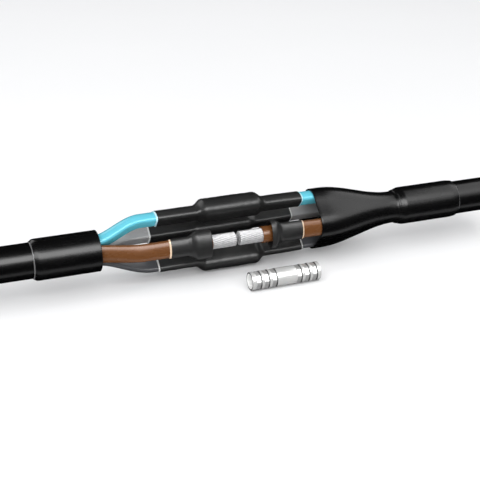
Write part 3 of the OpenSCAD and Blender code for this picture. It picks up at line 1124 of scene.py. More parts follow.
@dataclass(frozen=True)
class CableCovers:
    """Sheath and bedding of the cable on one side."""

    sizes: JointSizes
    side: Side
    segments: int = 96
    corner_r: float = 0.35
    bedding_corner_r: float = 0.1
    station_step: float = 12.0

    def tube(self, name: str, outer_r: float, inner_r: float, corner_r: float) -> MeshDraft:
        """Makes a round tube from the sawn end to the sheath's end.

        Args:
            name: the piece's name.
            outer_r: outer radius.
            inner_r: inner radius.
            corner_r: rounding of its cut edges.

        Returns:
            The draft.
        """
        first, last = sorted((self.sizes.cable_end(self.side), self.sizes.sheath_end(self.side)))
        xs = spaced(first, last, lambda x: self.station_step)
        wall = rounded_wall([(x, outer_r) for x in xs], [(x, inner_r) for x in xs], corner_r)
        draft = MeshDraft(name)
        draft.add_rings([round_ring(x, r, self.segments) for x, r in wall], closed=True)
        return draft

    def make(self, dresser: Dresser, finishes: Finishes) -> None:
        """Builds and dresses both covers.

        Args:
            dresser: gives each piece its place in the frame.
            finishes: the joint's materials.
        """
        s, side = self.sizes, self.side.name.lower()
        sheath = self.tube(f"sheath_{side}", s.cable_r, s.sheath_in, self.corner_r)
        dresser.dress(sheath, finishes.sheath, "cable_sheath", f"cable_sheath_{side}")
        bedding_r = s.bedding_in + s.bedding_wall
        bedding = self.tube(f"bedding_{side}", bedding_r, s.bedding_in, self.bedding_corner_r)
        dresser.dress(bedding, finishes.bedding, "cable_bedding", f"cable_bedding_{side}")


@dataclass(frozen=True)
class WireMosaic:
    """Sawn ends of the wires in a pressed conductor, one cell for each wire."""

    wires: int = 37
    rounds: int = 10
    gap: float = 0.08
    recess: float = 1.2
    crown: float = 0.22
    first_row: float = 0.4
    first_column: float = 0.3

    def seeds(self, outline: np.ndarray) -> np.ndarray:
        """Spreads the wires' first places over the section.

        Args:
            outline: the section's outline.

        Returns:
            One point a wire.
        """
        low, high = outline.min(0), outline.max(0)
        pitch = math.sqrt(polygon_area(outline) / self.wires * 2 / math.sqrt(3))
        rows = int((high[0] - low[0]) / (pitch * math.sqrt(3) / 2)) + 2
        columns = int((high[1] - low[1]) / pitch) + 2
        grid = [
            (
                low[0] + (i + self.first_row) * pitch * math.sqrt(3) / 2,
                low[1] + (j + self.first_column + 0.5 * (i % 2)) * pitch,
            )
            for i in range(rows)
            for j in range(columns)
        ]
        inside = [p for p in grid if inside_polygon(outline, p)]
        return np.array(inside)

    def cells(self, outline: np.ndarray) -> list[np.ndarray]:
        """Divides the section among the wires.

        Args:
            outline: the section's convex outline.

        Returns:
            One convex cell a wire.
        """
        centres = self.seeds(outline)
        cells: list[np.ndarray] = []
        for _ in range(self.rounds):
            cells = [self.cell(outline, centres, i) for i in range(len(centres))]
            centres = np.array([c.mean(0) for c in cells])
        return cells

    def cell(self, outline: np.ndarray, centres: np.ndarray, index: int) -> np.ndarray:
        """Cuts one wire's cell out of the section.

        Args:
            outline: the section's convex outline.
            centres: the middles of all the wires.
            index: which wire it is.

        Returns:
            The part of the outline that lies nearest to its middle.
        """
        found = outline
        for k, other in enumerate(centres):
            if k != index:
                middle = (centres[index] + other) / 2
                found = cut_polygon(found, middle, other - centres[index])
        return found

    def add_to(self, draft: MeshDraft, path: CorePath, outline: np.ndarray, x: float, outward: int) -> None:
        """Stands the wires' ends on a conductor.

        Args:
            draft: the conductor's mesh.
            path: the path that the conductor follows.
            outline: its section.
            x: the sawn face.
            outward: sign along X of the side that the face looks to.
        """
        for cell in self.cells(outline):
            middle = cell.mean(0)
            reach = math.sqrt(polygon_area(cell) / math.pi)
            full = middle + (cell - middle) * (1 - self.gap / reach)
            crowned = middle + (cell - middle) * (1 - (self.gap + self.crown) / reach)
            rings = [
                path.stand(x - outward * self.recess, full),
                path.stand(x - outward * self.crown, full),
                path.stand(x, crowned),
            ]
            draft.add_rings(rings)


def polygon_area(outline: np.ndarray) -> float:
    """Returns the area inside a closed outline."""
    a, b = outline, np.roll(outline, -1, axis=0)
    return abs(float(np.sum(a[:, 0] * b[:, 1] - b[:, 0] * a[:, 1]))) / 2


def inside_polygon(outline: np.ndarray, point: Span) -> bool:
    """Tells whether a point lies inside a convex outline.

    Args:
        outline: the outline.
        point: the point.

    Returns:
        True if it does.
    """
    a, b = outline, np.roll(outline, -1, axis=0)
    cross = (b[:, 0] - a[:, 0]) * (point[1] - a[:, 1]) - (b[:, 1] - a[:, 1]) * (point[0] - a[:, 0])
    return bool(np.all(cross > 0) or np.all(cross < 0))


def cut_polygon(outline: np.ndarray, through: np.ndarray, away: np.ndarray) -> np.ndarray:
    """Keeps the part of a convex outline behind a line.

    Args:
        outline: the outline.
        through: a point on the line.
        away: the line's normal, towards what is cut off.

    Returns:
        The outline that is left.
    """
    height = (outline - through) @ away
    kept: list[np.ndarray] = []
    for k in range(len(outline)):
        n = (k + 1) % len(outline)
        if height[k] <= 0:
            kept.append(outline[k])
        if (height[k] <= 0) != (height[n] <= 0):
            share = height[k] / (height[k] - height[n])
            kept.append(outline[k] + (outline[n] - outline[k]) * share)
    return np.array(kept)


@dataclass(frozen=True)
class Core:
    """One insulated core on one side of the joint, with its conductor."""

    sizes: JointSizes
    place: Place
    side: Side
    cut_r: float = 0.25
    wire_sides: int = 10
    wire_sharp_deg: float = 50.0
    wire_step: float = 1.6
    wire_r: float = 1.13
    wire_chamfer: float = 0.25
    wire_tip_share: float = 0.78
    wire_tuck: float = 2.0
    inner_layers: tuple[tuple[int, float], ...] = ((12, 0.66), (6, 0.33), (1, 0.0))
    least_ragged: float = 0.45
    ragged: float = 0.7
    scatter: tuple[float, float, float] = (1.37, 2.1, 5.0)

    @property
    def path(self) -> CorePath:
        """The path that this core follows."""
        return CorePath(self.sizes, self.place)

    @property
    def label(self) -> str:
        """Pattern of this core's names, with a blank for the kind of piece."""
        return f"{CORE_NAMES[self.place]}_{{}}_{self.side.name.lower()}"

    def insulation(self) -> MeshDraft:
        """Makes the insulation, a wall of even thickness.

        Returns:
            The draft.
        """
        s, path = self.sizes, self.path
        first, last = sorted((s.cable_end(self.side), s.insulation_end(self.place, self.side)))
        xs = spaced(first, last, path.step_at)
        inner = spaced(first, last, lambda x: 2 * path.step_at(x))
        wall = rounded_wall([(x, 0.0) for x in xs], [(x, -s.insulation) for x in inner], self.cut_r)
        draft = MeshDraft(self.label.format("insulation"))
        draft.add_rings([path.ring(x, path.core_section(x), g) for x, g in wall], closed=True)
        return draft

    def conductor(self) -> MeshDraft:
        """Makes the conductor, with its wires where they show.

        Returns:
            The draft.
        """
        s, path = self.sizes, self.path
        sunk = -s.insulation - s.fit
        mosaic = WireMosaic()
        sawn = s.cable_end(self.side) - self.side.value * mosaic.recess
        near_end = s.insulation_end if self.place is Place.FRONT else s.conductor_end
        near = near_end(self.place, self.side)
        xs = spaced(*sorted((sawn, near)), lambda x: 2 * path.step_at(x))
        draft = MeshDraft(self.label.format("conductor"))
        draft.add_rings([path.ring(x, path.core_section(x), sunk) for x in xs])
        outline = path.pen.outline(path.core_form, sunk)
        mosaic.add_to(draft, path, outline, s.cable_end(self.side), self.side.value)
        if self.place is Place.FRONT:
            self.add_bare_wires(draft)
        return draft

    def add_bare_wires(self, draft: MeshDraft) -> None:
        """Adds the bare wires of the front conductor, laid up in a helix.

        Args:
            draft: the conductor's mesh.
        """
        s = self.sizes
        hidden = s.insulation_end(self.place, self.side) + self.side.value * self.wire_tuck
        bare = s.conductor_end(self.place, self.side)
        pitch = s.conductor_r - self.wire_r
        along, across, apart = self.scatter
        for layer, (wires, share) in enumerate([(s.outer_wires, 1.0), *self.inner_layers]):
            for i in range(wires):
                spot = Vector((i * along, layer * across, apart * self.side.value))
                uneven = 0.5 + 0.5 * noise.noise(spot)
                end = bare + self.side.value * (self.least_ragged + self.ragged * uneven)
                self.add_wire(draft, hidden, end, pitch * share, 360 * (i + 0.5 * layer) / wires)

    def add_wire(
        self, draft: MeshDraft, hidden: float, end: float, pitch_r: float, start_deg: float
    ) -> None:
        """Adds one wire of the bare conductor.

        Args:
            draft: the conductor's mesh.
            hidden: its end inside the insulation.
            end: its cut end.
            pitch_r: its distance from the conductor's line.
            start_deg: its turn round that line at X = 0.
        """
        s = self.sizes
        rate = math.radians(s.wire_turn) / s.wire_turn_span
        xs = spaced(*sorted((hidden, end)), lambda x: self.wire_step)
        cut = 0 if end < hidden else -1
        inward = 1 if end < hidden else -1
        xs.insert(1 if cut == 0 else len(xs) - 1, end + inward * self.wire_chamfer)
        rings = []
        for k, x in enumerate(xs):
            turn = math.radians(start_deg) + rate * x
            radial = np.array([0.0, -math.sin(turn), math.cos(turn)])
            along = np.array([1.0, -pitch_r * rate * math.cos(turn), -pitch_r * rate * math.sin(turn)])
            along /= np.linalg.norm(along)
            across = np.cross(along, radial)
            middle = np.array([x, -s.core_axis, 0.0]) + pitch_r * radial
            r = self.wire_r * (self.wire_tip_share if k == cut % len(xs) else 1.0)
            around = np.linspace(0, 2 * np.pi, self.wire_sides, endpoint=False)
            ring = middle + r * (np.outer(np.cos(around), radial) + np.outer(np.sin(around), across))
            rings.append(s.turn_bundle(ring))
        draft.add_rings(rings)

    def make(self, dresser: Dresser, finishes: Finishes) -> None:
        """Builds and dresses the insulation and the conductor.

        Args:
            dresser: gives each piece its place in the frame.
            finishes: the joint's materials.
        """
        slot = f"core_{CORE_NAMES[self.place]}"
        core, wires = self.label.format("core"), self.label.format("conductor")
        dresser.dress(self.insulation(), finishes.cores[self.place], slot, core)
        metal, sharp = finishes.conductor, self.wire_sharp_deg
        dresser.dress(self.conductor(), metal, "conductor", wires, sharp_deg=sharp)


@dataclass(frozen=True)
class InnerSleeve:
    """The shrunk sleeve over one core's connector, or one piece of it."""

    sizes: JointSizes
    place: Place
    name: str
    node: str
    start: float
    end: float
    cut_r: float = 0.45
    lump_depth: float = 0.35
    lump_size: float = 15.0
    crimp_sink: float = 0.22
    crimp_softness: float = 0.35
    crimps: int = 2
    seed_step: float = 3.7
    station_step: float = 2.2

    def step_at(self, x: float) -> float:
        """Returns the step between stations at x."""
        return min(self.station_step, CorePath(self.sizes, self.place).step_at(x))

    def crimp_dent(self, x: float) -> float:
        """Finds how far the sleeve sinks over the crimped bands of its connector.

        Args:
            x: station along the cable.

        Returns:
            The depth.
        """
        if self.place is Place.FRONT:
            return 0.0
        s = self.sizes
        out = abs(x - s.connector_x(self.place))
        dent = 0.0
        for i in range(self.crimps):
            middle = s.short_connector / 2 - s.connector_lip - i * (s.band_w + s.band_ridge) - s.band_w / 2
            dent += math.exp(-(((out - middle) / (s.band_w * self.crimp_softness)) ** 2))
        return self.crimp_sink * dent

    def mesh(self) -> MeshDraft:
        """Makes the sleeve's wall, a little uneven outside.

        Returns:
            The draft.
        """
        s, path = self.sizes, CorePath(self.sizes, self.place)
        lumps = Lumps(self.lump_depth, self.lump_size, seed=self.seed_step * self.place.value)
        outer_g, inner_g = s.fit + s.inner_wall, s.fit
        xs = spaced(self.start, self.end, self.step_at)
        inner = spaced(self.start, self.end, path.step_at)
        wall = rounded_wall([(x, outer_g) for x in xs], [(x, inner_g) for x in inner], self.cut_r)
        rings = []
        for x, g in wall:
            form = path.sleeve_section(x)
            share = max(0.0, (g - inner_g) / s.inner_wall)
            sunk = lumps.sink(path.ring(x, form, g)) + self.crimp_dent(x)
            rings.append(path.ring(x, form, g - share * sunk))
        draft = MeshDraft(self.name)
        draft.add_rings(rings, closed=True)
        return draft

    def make(self, dresser: Dresser, finishes: Finishes) -> None:
        """Builds and dresses the sleeve."""
        dresser.dress(self.mesh(), finishes.inner_sleeve, "inner_sleeve", self.node)


@dataclass(frozen=True)
class AdhesiveRing:
    """Adhesive squeezed out at one end of an inner or an outer sleeve."""

    sizes: JointSizes
    side: Side
    steps: int = 6
    segments: int = 96
    unevenness: float = 0.3
    wander_size: float = 4.0
    foot_share: float = 0.4
    cable_share: float = 0.7

    def profile(self, inner: float) -> Profile:
        """Draws the ring's section.

        Args:
            inner: height of its foot.

        Returns:
            Points as distance from the sleeve's end and height.
        """
        s = self.sizes
        turns = [math.pi / 2 * i / self.steps for i in range(self.steps + 1)]
        dome = [(s.bead_w * math.sin(t), inner + (s.bead_h - inner) * math.cos(t)) for t in turns]
        return [(0.0, inner), *dome]

    def wander(self, points: np.ndarray) -> np.ndarray:
        """Returns how much of its full size the ring has at each point."""
        shares = [0.5 + 0.5 * noise.noise(Vector(p / self.wander_size)) for p in points]
        return 1 - self.unevenness * np.array(shares)

    def on_core(self, place: Place) -> MeshDraft:
        """Makes the ring round a core at its inner sleeve's end.

        Args:
            place: the core's place.

        Returns:
            The draft.
        """
        path = CorePath(self.sizes, place)
        end = self.sizes.sleeve_ends(place)[0 if self.side is Side.LEFT else 1]
        size = self.wander(path.ring(end, path.core_form, 0.0))
        rings = []
        for out, height in self.profile(self.sizes.fit * self.foot_share):
            ring = path.ring(end, path.core_form, height * size)
            ring[:, 0] += self.side.value * out * size
            rings.append(ring)
        draft = MeshDraft(f"{CORE_NAMES[place]}_adhesive_{self.side.name.lower()}")
        draft.add_rings(rings, closed=True)
        return draft

    def on_cable(self) -> MeshDraft:
        """Makes the ring round the cable at the outer sleeve's end.

        Returns:
            The draft.
        """
        s = self.sizes
        end = -s.outer_left_end if self.side is Side.LEFT else s.outer_right_end
        base = round_ring(end, s.cable_r, self.segments)
        size = self.wander(base)
        rings = []
        for out, height in self.profile(s.fit * self.foot_share):
            ring = base.copy()
            ring[:, 1:] *= (1 + self.cable_share * height * size / s.cable_r)[:, None]
            ring[:, 0] += self.side.value * self.cable_share * out * size
            rings.append(ring)
        draft = MeshDraft(f"outer_adhesive_{self.side.name.lower()}")
        draft.add_rings(rings, closed=True)
        return draft

    def make(self, dresser: Dresser, finishes: Finishes) -> None:
        """Builds and dresses the rings on this side.

        Args:
            dresser: gives each piece its place in the frame.
            finishes: the joint's materials.
        """
        side = self.side.name.lower()
        for place, name in CORE_NAMES.items():
            dresser.dress(self.on_core(place), finishes.adhesives[place], "adhesive", f"{name}_bead_{side}")
        dresser.dress(self.on_cable(), finishes.outer_adhesive, "adhesive", f"outer_bead_{side}")


@dataclass(frozen=True)
class OuterSleeveLeft:
    """The piece of outer sleeve that is left on the left cable: a round tube."""

    sizes: JointSizes
    segments: int = 96
    cut_r: float = 0.6
    station_step: float = 3.0
    lumps: Lumps = Lumps(0.12, 24.0, seed=8.0)

    def mesh(self) -> MeshDraft:
        """Makes the tube with its thinned outer rim.

        Returns:
            The draft.
        """
        s = self.sizes
        inner = s.cable_r + s.fit
        xs = spaced(-s.outer_left_end, -s.outer_left_cut, lambda x: self.station_step)
        walls = [mix(s.rim_wall, s.left_wall, ease((x + s.outer_left_end) / s.left_rim)) for x in xs]
        outer = [(x, inner + wall) for x, wall in zip(xs, walls)]
        rings = []
        for x, r in rounded_wall(outer, [(x, inner) for x in xs], self.cut_r):
            ring = round_ring(x, r, self.segments)
            share = (r - inner) / s.left_wall
            ring[:, 1:] *= (1 - share * self.lumps.sink(ring) / r)[:, None]
            rings.append(ring)
        draft = MeshDraft("outer_sleeve_stub")
        draft.add_rings(rings, closed=True)
        return draft

    def make(self, dresser: Dresser, finishes: Finishes) -> None:
        """Builds and dresses the tube."""
        dresser.dress(self.mesh(), finishes.outer_sleeve, "outer_sleeve", "outer_sleeve_left")


@dataclass(frozen=True)
class OuterSleeveRight:
    """The outer sleeve on the right: it bridges the cores, necks in and steps up on the sheath."""

    sizes: JointSizes
    arc_steps: int = 14
    side_steps: int = 6
    cut_r: float = 0.5
    sag: float = 0.35
    step_before: float = 5.0
    step_after: float = 8.0
    step_level: float = 1.0
    station_step: float = 3.0
    fine_step: float = 0.8
    fine_reach: float = 9.0
    lumps: Lumps = Lumps(0.16, 22.0, seed=5.0)

    @property
    def path(self) -> CorePath:
        """Path of the top core, which spreads as all four do under this sleeve."""
        return CorePath(self.sizes, Place.TOP)

    def ring(self, x: float, r: float, sag: float) -> np.ndarray:
        """Draws the section over four cores: a square on its corner with rounded corners.

        Args:
            x: station along the cable.
            r: radius round each core's inner edge.
            sag: how far the flat sides sink between the cores.

        Returns:
            The ring's points.
        """
        spread = self.path.spread(x)
        points: Profile = []
        for corner in range(4):
            for i in range(self.arc_steps + 1):
                points.append(self.spot(spread, r, corner, mix(-45, 45, i / self.arc_steps)))
            last = self.spot(spread, r, corner, 45)
            onward = self.spot(spread, r, (corner + 1) % 4, -45)
            lean = math.radians(90 * corner + 45)
            for i in range(1, self.side_steps):
                t = i / self.side_steps
                dip = sag * math.sin(math.pi * t)
                points.append((
                    mix(last[0], onward[0], t) + dip * math.sin(lean),
                    mix(last[1], onward[1], t) - dip * math.cos(lean),
                ))
        flat = np.array(points)
        return self.sizes.turn_bundle(np.column_stack([np.full(len(flat), x), flat[:, 0], flat[:, 1]]))

    @staticmethod
    def spot(spread: float, r: float, corner: int, turn_deg: float) -> Span:
        """Returns one point of a rounded corner as y and z."""
        at, turn = math.radians(90 * corner), math.radians(90 * corner + turn_deg)
        return (-spread * math.sin(at) - r * math.sin(turn), spread * math.cos(at) + r * math.cos(turn))

    def outer_r(self, x: float) -> float:
        """Finds the sleeve's outer radius.

        Args:
            x: station along the cable.

        Returns:
            The radius.
        """
        s = self.sizes
        first, last = s.sheath_end_right - self.step_before, s.sheath_end_right + self.step_after
        over_cores = s.core_r + 2 * s.fit + s.stretched_wall
        on_sheath = s.cable_r + s.fit + s.right_wall
        up = mix(over_cores, on_sheath, ease((x - first) / (last - first)))
        return up - (s.right_wall - s.rim_wall) * ease((x - s.outer_right_end + s.right_rim) / s.right_rim)

    def inner_r(self, x: float) -> float:
        """Finds the sleeve's inner radius.

        Args:
            x: station along the cable.

        Returns:
            The radius.
        """
        s = self.sizes
        over_cores = s.core_r * math.hypot(1, self.path.slope(x)) + 2 * s.fit
        rise = ease((x - s.sheath_end_right + self.step_before) / (self.step_before - self.step_level))
        return mix(over_cores, s.cable_r + s.fit, rise)

    def step_at(self, x: float) -> float:
        """Returns the step between stations at x, finer near the rise on the sheath."""
        near = abs(x - self.sizes.sheath_end_right) < self.fine_reach
        return self.fine_step if near else self.station_step

    def mesh(self) -> MeshDraft:
        """Makes the sleeve's wall.

        Returns:
            The draft.
        """
        s = self.sizes
        xs = spaced(s.outer_right_cut, s.outer_right_end, self.step_at)
        outer = [(x, self.outer_r(x)) for x in xs]
        wall = rounded_wall(outer, [(x, self.inner_r(x)) for x in xs], self.cut_r)
        rings = []
        for x, r in wall:
            spread_share = self.path.spread(x) / s.mouth_spread
            plain = self.ring(x, r, 0.0)
            share = (r - self.inner_r(x)) / s.right_wall
            sunk = self.lumps.sink(plain) * share
            ring = self.ring(x, r, self.sag * spread_share)
            outward = ring[:, 1:] / np.linalg.norm(ring[:, 1:], axis=1)[:, None]
            ring[:, 1:] -= outward * sunk[:, None]
            rings.append(ring)
        draft = MeshDraft("outer_sleeve_bridge")
        draft.add_rings(rings, closed=True)
        return draft

    def make(self, dresser: Dresser, finishes: Finishes) -> None:
        """Builds and dresses the sleeve."""
        dresser.dress(self.mesh(), finishes.outer_sleeve, "outer_sleeve", "outer_sleeve_right")


@dataclass(frozen=True)
class LooseConnector:
    """The crimped compression connector that lies in front of the joint."""

    sizes: JointSizes
    placement: Placement
    bands: int = 3
    bevel: float = 1.0
    corner_sink: float = 0.3
    flat_sink: float = 0.35
    edge_share: float = 0.1
    bevel_curve: Curve = ((0.0, 0.0), (0.15, 0.12), (0.5, 0.55), (0.85, 0.93), (1.2, 1.0))
    chamfer: float = 0.5
    chamfer_bulge: Span = (0.35, 0.3)
    stop_shoulder: Span = (0.2, 0.8)
    stop_crest: float = 0.5
    bore_station: float = 0.75
    sharp_deg: float = 14.0
    flat_steps: int = 8
    round_steps: int = 4
    sides: int = 6

    def turns(self) -> tuple[np.ndarray, np.ndarray]:
        """Lists the points round the barrel.

        Returns:
            Their turns from the top in radians, and the radius that the die leaves at each.
        """
        s = self.sizes
        flat = s.connector_r - s.crimp_depth
        half = math.degrees(math.acos(flat / s.connector_r))
        turns: list[float] = []
        for side in range(self.sides):
            middle = 360 / self.sides * side
            turns += [middle + mix(-half, half, i / self.flat_steps) for i in range(self.flat_steps)]
            rest = 360 / self.sides - 2 * half
            turns += [middle + half + rest * i / self.round_steps for i in range(self.round_steps)]
        at = np.array(turns)
        off = np.abs((at + 180 / self.sides) % (360 / self.sides) - 180 / self.sides)
        die = (flat - self.flat_sink) / np.cos(np.radians(off))
        return np.radians(at), np.minimum(s.connector_r - self.corner_sink, die)

    def outer_line(self, length: float) -> list[tuple[float, float, float]]:
        """Lists the barrel's outside.

        Args:
            length: the barrel's length.

        Returns:
            Station, radius and how far the die has pressed it there, from 0 to 1.
        """
        s, r = self.sizes, self.sizes.connector_r
        along, down = self.chamfer_bulge
        rim = [(0.0, self.chamfer), (self.chamfer * along, self.chamfer * down), (self.chamfer, 0.0)]
        line = [(x, r - drop, 0.0) for x, drop in rim]
        edges = []
        for i in range(self.bands):
            near = s.connector_lip + i * (s.band_w + s.band_ridge)
            edges += [near, length - near - s.band_w]
        for start in sorted(edges):
            end = start + s.band_w
            line += [(start + at * self.bevel, r, share) for at, share in self.bevel_curve]
            line += [(end - at * self.bevel, r, share) for at, share in reversed(self.bevel_curve)]
        return line + [(length - x, r - drop, 0.0) for x, drop in reversed(rim)]

    def inner_line(self, length: float) -> list[tuple[float, float, float]]:
        """Lists the bore, back from the right end.

        Args:
            length: the barrel's length.

        Returns:
            The same three values as outer_line().
        """
        s = self.sizes
        bore = s.conductor_r + s.bore_play / 2
        foot, crest = length / 2 + s.stop_w / 2, bore - s.stop_h
        inset, share = self.stop_shoulder
        stop = [(foot, bore), (foot - inset, bore - s.stop_h * share), (foot - self.stop_crest, crest)]
        mirrored = [(length - x, r) for x, r in reversed(stop)]
        rim = [(length, bore + self.chamfer), (length - self.chamfer, bore)]
        ends = [*rim, (length * self.bore_station, bore)]
        back = [(length - x, r) for x, r in reversed(ends)]
        return [(x, r, 0.0) for x, r in [*ends, *stop, *mirrored, *back]]

    def mesh(self) -> MeshDraft:
        """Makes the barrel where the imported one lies.

        Returns:
            The draft.
        """
        low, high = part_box("brown_connector")
        length = (high.x - low.x) / MM
        place = self.placement
        middle_y, middle_z = (low.y + high.y) / 2 / MM, (low.z + high.z) / 2 / MM
        origin = np.array([low.x / MM - place.x, middle_y - place.y, middle_z - place.z])
        turns, pressed = self.turns()
        rings = []
        for x, r, share in self.outer_line(length) + self.inner_line(length):
            reach = r + (pressed - self.sizes.connector_r) * share
            ring = np.column_stack([np.full(len(turns), x), -reach * np.sin(turns), reach * np.cos(turns)])
            rings.append(origin + ring)
        draft = MeshDraft("loose_connector")
        draft.add_rings(rings, closed=True)
        return draft

    def wear(self) -> list[Wear]:
        """Tells which material the faces behind each of the barrel's rings get, painted shade and painted
        light among them.

        Returns:
            One value a ring: the outside from the left, then the right rim, the bore and the left rim.
        """
        outer = self.outer_line(self.sizes.long_connector)
        outside = []
        for (_, _, here), (_, _, behind) in zip(outer, outer[1:]):
            # A falling band edge gets near-black painted shade; a fully pressed flat gets the darker
            # painted-shade copy of the tin
            falls = behind < here and here > self.edge_share
            flat = Wear.CRIMPED if here == behind == 1.0 else Wear.PLAIN
            outside.append(Wear.EDGE if falls else flat)
        inner = len(self.inner_line(self.sizes.long_connector))
        # Both rims get near-black painted shade, and the bore gets the brighter painted-light copy of the
        # tin
        return [*outside, Wear.EDGE, *[Wear.BORE] * (inner - 1), Wear.EDGE]

    def make(self, dresser: Dresser, finishes: Finishes) -> None:
        """Builds and dresses the barrel.

        Args:
            dresser: gives each piece its place in the frame.
            finishes: the joint's materials.
        """
        draft, node = self.mesh(), "brown_connector"
        piece = dresser.dress(draft, finishes.tin, "connector", node, sharp_deg=self.sharp_deg)
        # The added materials paint shade on the pressed flats, shade on the band edges and rims, and light
        # in the bore
        for material in (finishes.crimped, finishes.worn_edge, finishes.bore):
            piece.data.materials.append(material)
        points_round = len(self.turns()[0])
        wear = self.wear()
        for face in piece.data.polygons:
            rings = {corner // points_round for corner in face.vertices}
            wraps = max(rings) - min(rings) > 1
            face.material_index = wear[max(rings) if wraps else min(rings)].value


def direction(azimuth: float, elevation: float) -> Vector:
    """Returns the direction to a place round the joint, from two angles in radians."""
    level = math.cos(elevation)
    return Vector((math.sin(azimuth) * level, -math.cos(azimuth) * level, math.sin(elevation)))


@dataclass(frozen=True)
class Viewpoint:
    """The camera, at the photograph's view."""

    placement: Placement
    azimuth_deg: float = -20.75
    elevation_deg: float = 22.22
    roll_deg: float = -0.5
    distance: float = 1396.2
    lens: float = 90.79
    sensor: float = 36.0
    image_px: float = 480.0
    aim_x: float = 17.0
    aim_px_y: float = 229.3
    clip: Span = (0.05, 50.0)

    def axes(self) -> tuple[Vector, Vector, Vector]:
        """Finds the camera's directions.

        Returns:
            Its right, up and backward directions.
        """
        a, e, r = (math.radians(v) for v in (self.azimuth_deg, self.elevation_deg, self.roll_deg))
        back = direction(a, e)
        level = Vector((math.cos(a), math.sin(a), 0.0))
        above = back.cross(level)
        right = level * math.cos(r) + above * math.sin(r)
        return right, above * math.cos(r) - level * math.sin(r), back

    def make(self) -> None:
        """Adds the camera and makes it the scene's."""
        right, up, back = self.axes()
        focal_px = self.image_px * self.lens / self.sensor
        rise = (self.image_px / 2 - self.aim_px_y) / focal_px
        target = Vector((self.placement.x + self.aim_x, self.placement.y, self.placement.z)) * MM
        spot = target + (back - up * rise) * self.distance * MM
        data = bpy.data.cameras.new("camera")
        data.lens, data.sensor_width = self.lens, self.sensor
        data.clip_start, data.clip_end = self.clip
        camera = bpy.data.objects.new("camera", data)
        camera.matrix_world = Matrix((
            (right.x, up.x, back.x, spot.x),
            (right.y, up.y, back.y, spot.y),
            (right.z, up.z, back.z, spot.z),
            (0.0, 0.0, 0.0, 1.0),
        ))
        bpy.context.scene.collection.objects.link(camera)
        bpy.context.scene.camera = camera


@dataclass(frozen=True)
class SoftLight:
    """One rectangular studio light that points at the joint."""

    name: str
    azimuth_deg: float
    elevation_deg: float
    distance: float
    width: float
    height: float
    watts: float
    glossy: bool = True
    diffuse: bool = True

    def make(self) -> None:
        """Adds the light."""
        back = direction(math.radians(self.azimuth_deg), math.radians(self.elevation_deg))
        data = bpy.data.lights.new(self.name, "AREA")
        data.shape, data.size, data.size_y, data.energy = "RECTANGLE", self.width, self.height, self.watts
        lamp = bpy.data.objects.new(self.name, data)
        lamp.location = back * self.distance
        lamp.rotation_euler = back.to_track_quat("Z", "Y").to_euler()
        lamp.visible_glossy = self.glossy
        lamp.visible_diffuse = self.diffuse
        bpy.context.scene.collection.objects.link(lamp)


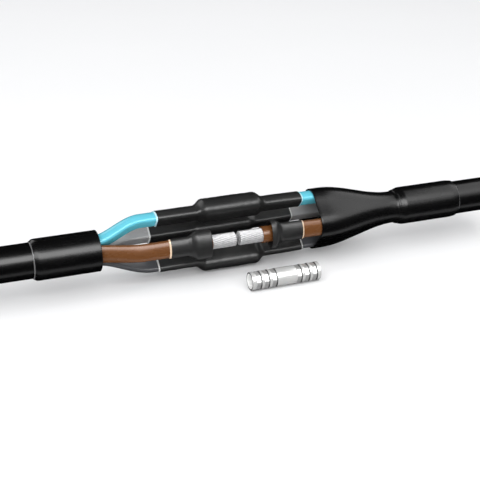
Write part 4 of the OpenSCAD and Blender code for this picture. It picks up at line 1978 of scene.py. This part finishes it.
@dataclass(frozen=True)
class Studio:
    """Plain pale floor, soft light and a dim surrounding."""

    floor_size: float = 14.0
    strip_half: float = 1.0
    floor_z: float = -0.0003
    floor_colour: Rgb = (0.86, 0.86, 0.865)
    strip_span: Span = (-0.036, -0.012)
    floor_glow: float = 0.01
    cloud_mm: float = 400.0
    cloud_gain: float = 1.01
    world_colour: Rgb = (0.95, 0.97, 1.0)
    world_strength: float = 0.25

    def make(self) -> None:
        """Adds the floor, the lights and the world."""
        half = self.floor_size / 2
        self.make_floor("floor", self.floor_z, (-half, half), (-half, half), False)
        strip_x = (-self.strip_half, self.strip_half)
        self.make_floor("floor_strip", self.floor_z / 2, strip_x, self.strip_span, True)
        for light in (
            SoftLight("key", -20.0, 42.0, 3.0, 5.0, 2.6, 104.0, glossy=False),
            SoftLight("overhead", 180.0, 69.0, 3.3, 6.0, 5.5, 110.0, glossy=False),
            SoftLight("front_softbox", 10.0, 41.5, 2.2, 2.3, 1.8, 37.0, diffuse=False),
            SoftLight("left_softbox", -22.0, 42.5, 2.2, 3.3, 1.2, 116.0, diffuse=False),
            SoftLight("right_softbox", 77.0, 42.0, 2.2, 2.5, 1.4, 34.0, diffuse=False),
            SoftLight("front_fill", -10.0, 11.0, 3.0, 4.0, 1.2, 42.0, glossy=False),
            SoftLight("back_softbox", 212.0, 30.0, 2.6, 2.2, 0.9, 14.0, diffuse=False),
        ):
            light.make()
        world = bpy.data.worlds.new("surrounding")
        world.use_nodes = True
        sky = world.node_tree.nodes["Background"]
        sky.inputs["Color"].default_value = (*self.world_colour, 1.0)
        sky.inputs["Strength"].default_value = self.world_strength
        world.cycles_visibility.glossy = False
        bpy.context.scene.world = world
        bpy.context.scene.view_settings.view_transform = "Standard"

    def make_floor(self, name: str, z: float, x_span: Span, y_span: Span, glossy: bool) -> None:
        """Adds a flat sheet of floor.

        Args:
            name: the sheet's name.
            z: its height.
            x_span: its left and right edge.
            y_span: its front and back edge.
            glossy: whether polished pieces mirror it.
        """
        mesh = bpy.data.meshes.new(name)
        (left, right), (front, back) = x_span, y_span
        corners = [(left, front, z), (right, front, z), (right, back, z), (left, back, z)]
        mesh.from_pydata(corners, [], [(0, 1, 2, 3)])
        floor = bpy.data.objects.new(name, mesh)
        bpy.context.scene.collection.objects.link(floor)
        board = NodeBoard("pale_floor")
        board.set(Roughness=0.9, Specular_IOR_Level=0.0)
        lighter = tuple(min(1.0, c * self.cloud_gain) for c in self.floor_colour)
        board.colour(board.noise(self.cloud_mm), self.floor_colour, lighter)
        board.set(Emission_Color=(1.0, 1.0, 1.0, 1.0), Emission_Strength=self.floor_glow)
        floor.visible_glossy = glossy
        mesh.materials.append(board.material)


def dress_hidden_connectors(nodes: dict[str, bpy.types.Object], finishes: Finishes) -> None:
    """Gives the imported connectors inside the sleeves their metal.

    Args:
        nodes: the frame's nodes by name.
        finishes: the joint's materials.
    """
    for name in ("blue_connector", "black_connector", "grey_connector"):
        nodes[name].data.materials.clear()
        nodes[name].data.materials.append(finishes.tin)
        LOG.info("%s: packed shape kept", name)


def inner_sleeves(sizes: JointSizes) -> list[InnerSleeve]:
    """Lists the inner sleeves: three whole ones and the two pieces of the front one.

    Args:
        sizes: the joint's sizes.

    Returns:
        The five sleeves.
    """
    sleeves = []
    for place in (Place.TOP, Place.BOTTOM, Place.BACK):
        name = CORE_NAMES[place]
        ends = sizes.sleeve_ends(place)
        sleeves.append(InnerSleeve(sizes, place, f"{name}_sleeve", f"{name}_inner_sleeve", *ends))
    start, end = sizes.sleeve_ends(Place.FRONT)
    pieces = {Side.LEFT: (start, -sizes.front_cut_left), Side.RIGHT: (sizes.front_cut_right, end)}
    for side, ends in pieces.items():
        name = side.name.lower()
        node = f"brown_inner_sleeve_{name}"
        sleeves.append(InnerSleeve(sizes, Place.FRONT, f"brown_sleeve_{name}", node, *ends))
    return sleeves


def main() -> None:
    """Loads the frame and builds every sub-assembly in order."""
    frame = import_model()
    sizes = JointSizes()
    placement = Placement.from_frame(sizes)
    Viewpoint(placement).make()
    finishes = Finishes()
    dresser = Dresser(placement)
    dress_hidden_connectors(frame["nodes"], finishes)
    for side in Side:
        CableCovers(sizes, side).make(dresser, finishes)
        for place in Place:
            Core(sizes, place, side).make(dresser, finishes)
        AdhesiveRing(sizes, side).make(dresser, finishes)
    for sleeve in inner_sleeves(sizes):
        sleeve.make(dresser, finishes)
    OuterSleeveLeft(sizes).make(dresser, finishes)
    OuterSleeveRight(sizes).make(dresser, finishes)
    LooseConnector(sizes, placement).make(dresser, finishes)
    Studio().make()


if __name__ == "__main__":
    logging.basicConfig(level=logging.INFO, format="%(message)s")
    main()
